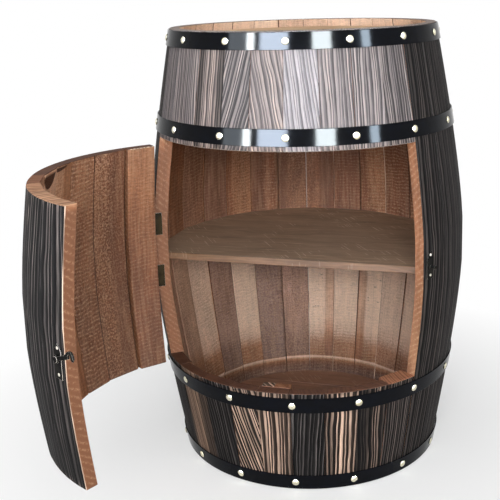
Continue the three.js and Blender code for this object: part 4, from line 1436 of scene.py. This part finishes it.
def set_world(ambient):
    """Even light from all round, and a white backdrop."""
    world = bpy.data.worlds.new("studio")
    world.use_nodes = True
    n = Nodes(world.node_tree)
    even = world.node_tree.nodes["Background"]
    even.inputs["Color"].default_value = (0.97, 0.98, 1.0, 1)
    even.inputs["Strength"].default_value = ambient
    white = n.add("ShaderNodeBackground")
    white.inputs["Color"].default_value = (1, 1, 1, 1)
    mix_shaders(n, seen(n), even, white, world.node_tree.nodes["World Output"])
    bpy.context.scene.world = world


def floor_material():
    """Pale floor that keeps the shadow near the barrel, and is plain white further out."""
    near, far, least = 0.15, 0.60, 0.4
    material = bpy.data.materials.new("pale floor")
    material.use_nodes = True
    n = Nodes(material.node_tree)
    shader = material.node_tree.nodes["Principled BSDF"]
    shader.inputs["Base Color"].default_value = (0.86, 0.86, 0.86, 1)
    shader.inputs["Roughness"].default_value = 0.9
    shader.inputs["Specular IOR Level"].default_value = 0.0
    x, y, _ = n.split(n.add("ShaderNodeTexCoord").outputs["Object"])
    plain = n.times(n.remap(n.away(x, y), near, far, least, 1.0), seen(n))
    mix_shaders(n, plain, shader, n.add("ShaderNodeEmission"),
                material.node_tree.nodes["Material Output"])
    return material


def lay_floor():
    bm = bmesh.new()
    bmesh.ops.create_grid(bm, x_segments=1, y_segments=1, size=FLOOR_REACH)
    bmesh.ops.translate(bm, vec=(0, 0, -FLOOR_DROP), verts=bm.verts)
    mesh = as_mesh("floor", bm)
    mesh.materials.append(floor_material())
    floor = link_object("floor", mesh)


class BARREL_OT_stage(bpy.types.Operator):
    """Make the floor, the lights and the camera"""

    bl_idname = "barrel.stage"
    bl_label = "Stage"

    def execute(self, context):
        stage = settings("stage")
        set_camera(stage)
        lay_floor()
        set_world(stage.ambient)
        context.scene.view_settings.view_transform = "Standard"
        for lamp in LAMPS:
            hang_lamp(lamp, stage.front)
        return {"FINISHED"}


class BARREL_PT_panel(bpy.types.Panel):
    """Lists the steps that build the cabinet, and its settings"""

    bl_idname = "BARREL_PT_panel"
    bl_label = "Barrel Cabinet"
    bl_space_type = "VIEW_3D"
    bl_region_type = "UI"
    bl_category = "Barrel Cabinet"

    def draw(self, context):
        for operator in OPERATORS:
            self.layout.operator(operator.bl_idname)
        for name in SETTINGS:
            group = settings(name)
            box = self.layout.box()
            box.label(text=name.capitalize())
            for key in group.bl_rna.properties.keys():
                if key not in ("rna_type", "name"):
                    box.prop(group, key)


OPERATORS = (
    BARREL_OT_finishes, BARREL_OT_full_staves, BARREL_OT_front_staves, BARREL_OT_door_staves,
    BARREL_OT_heads, BARREL_OT_shelf, BARREL_OT_sill_block, BARREL_OT_hoops, BARREL_OT_hinges,
    BARREL_OT_latch, BARREL_OT_stage,
)
SETTINGS = {
    "sizes": BarrelSizes,
    "hoops": HoopSizes,
    "fittings": FittingSizes,
    "colours": CabinetColours,
    "stage": StageSettings,
}


def register():
    for cls in (*SETTINGS.values(), *OPERATORS, BARREL_PT_panel):
        bpy.utils.register_class(cls)
    for name, cls in SETTINGS.items():
        setattr(bpy.types.Scene, f"barrel_{name}", PointerProperty(type=cls))


def unregister():
    for name in SETTINGS:
        delattr(bpy.types.Scene, f"barrel_{name}")
    for cls in (BARREL_PT_panel, *reversed(OPERATORS), *reversed(SETTINGS.values())):
        bpy.utils.unregister_class(cls)


def main():
    register()
    bpy.ops.barrel.finishes()
    bpy.ops.barrel.full_staves()
    bpy.ops.barrel.front_staves()
    bpy.ops.barrel.door_staves()
    bpy.ops.barrel.heads()
    bpy.ops.barrel.shelf()
    bpy.ops.barrel.sill_block()
    bpy.ops.barrel.hoops()
    bpy.ops.barrel.hinges()
    bpy.ops.barrel.latch()
    bpy.ops.barrel.stage()


if __name__ == "__main__":
    main()
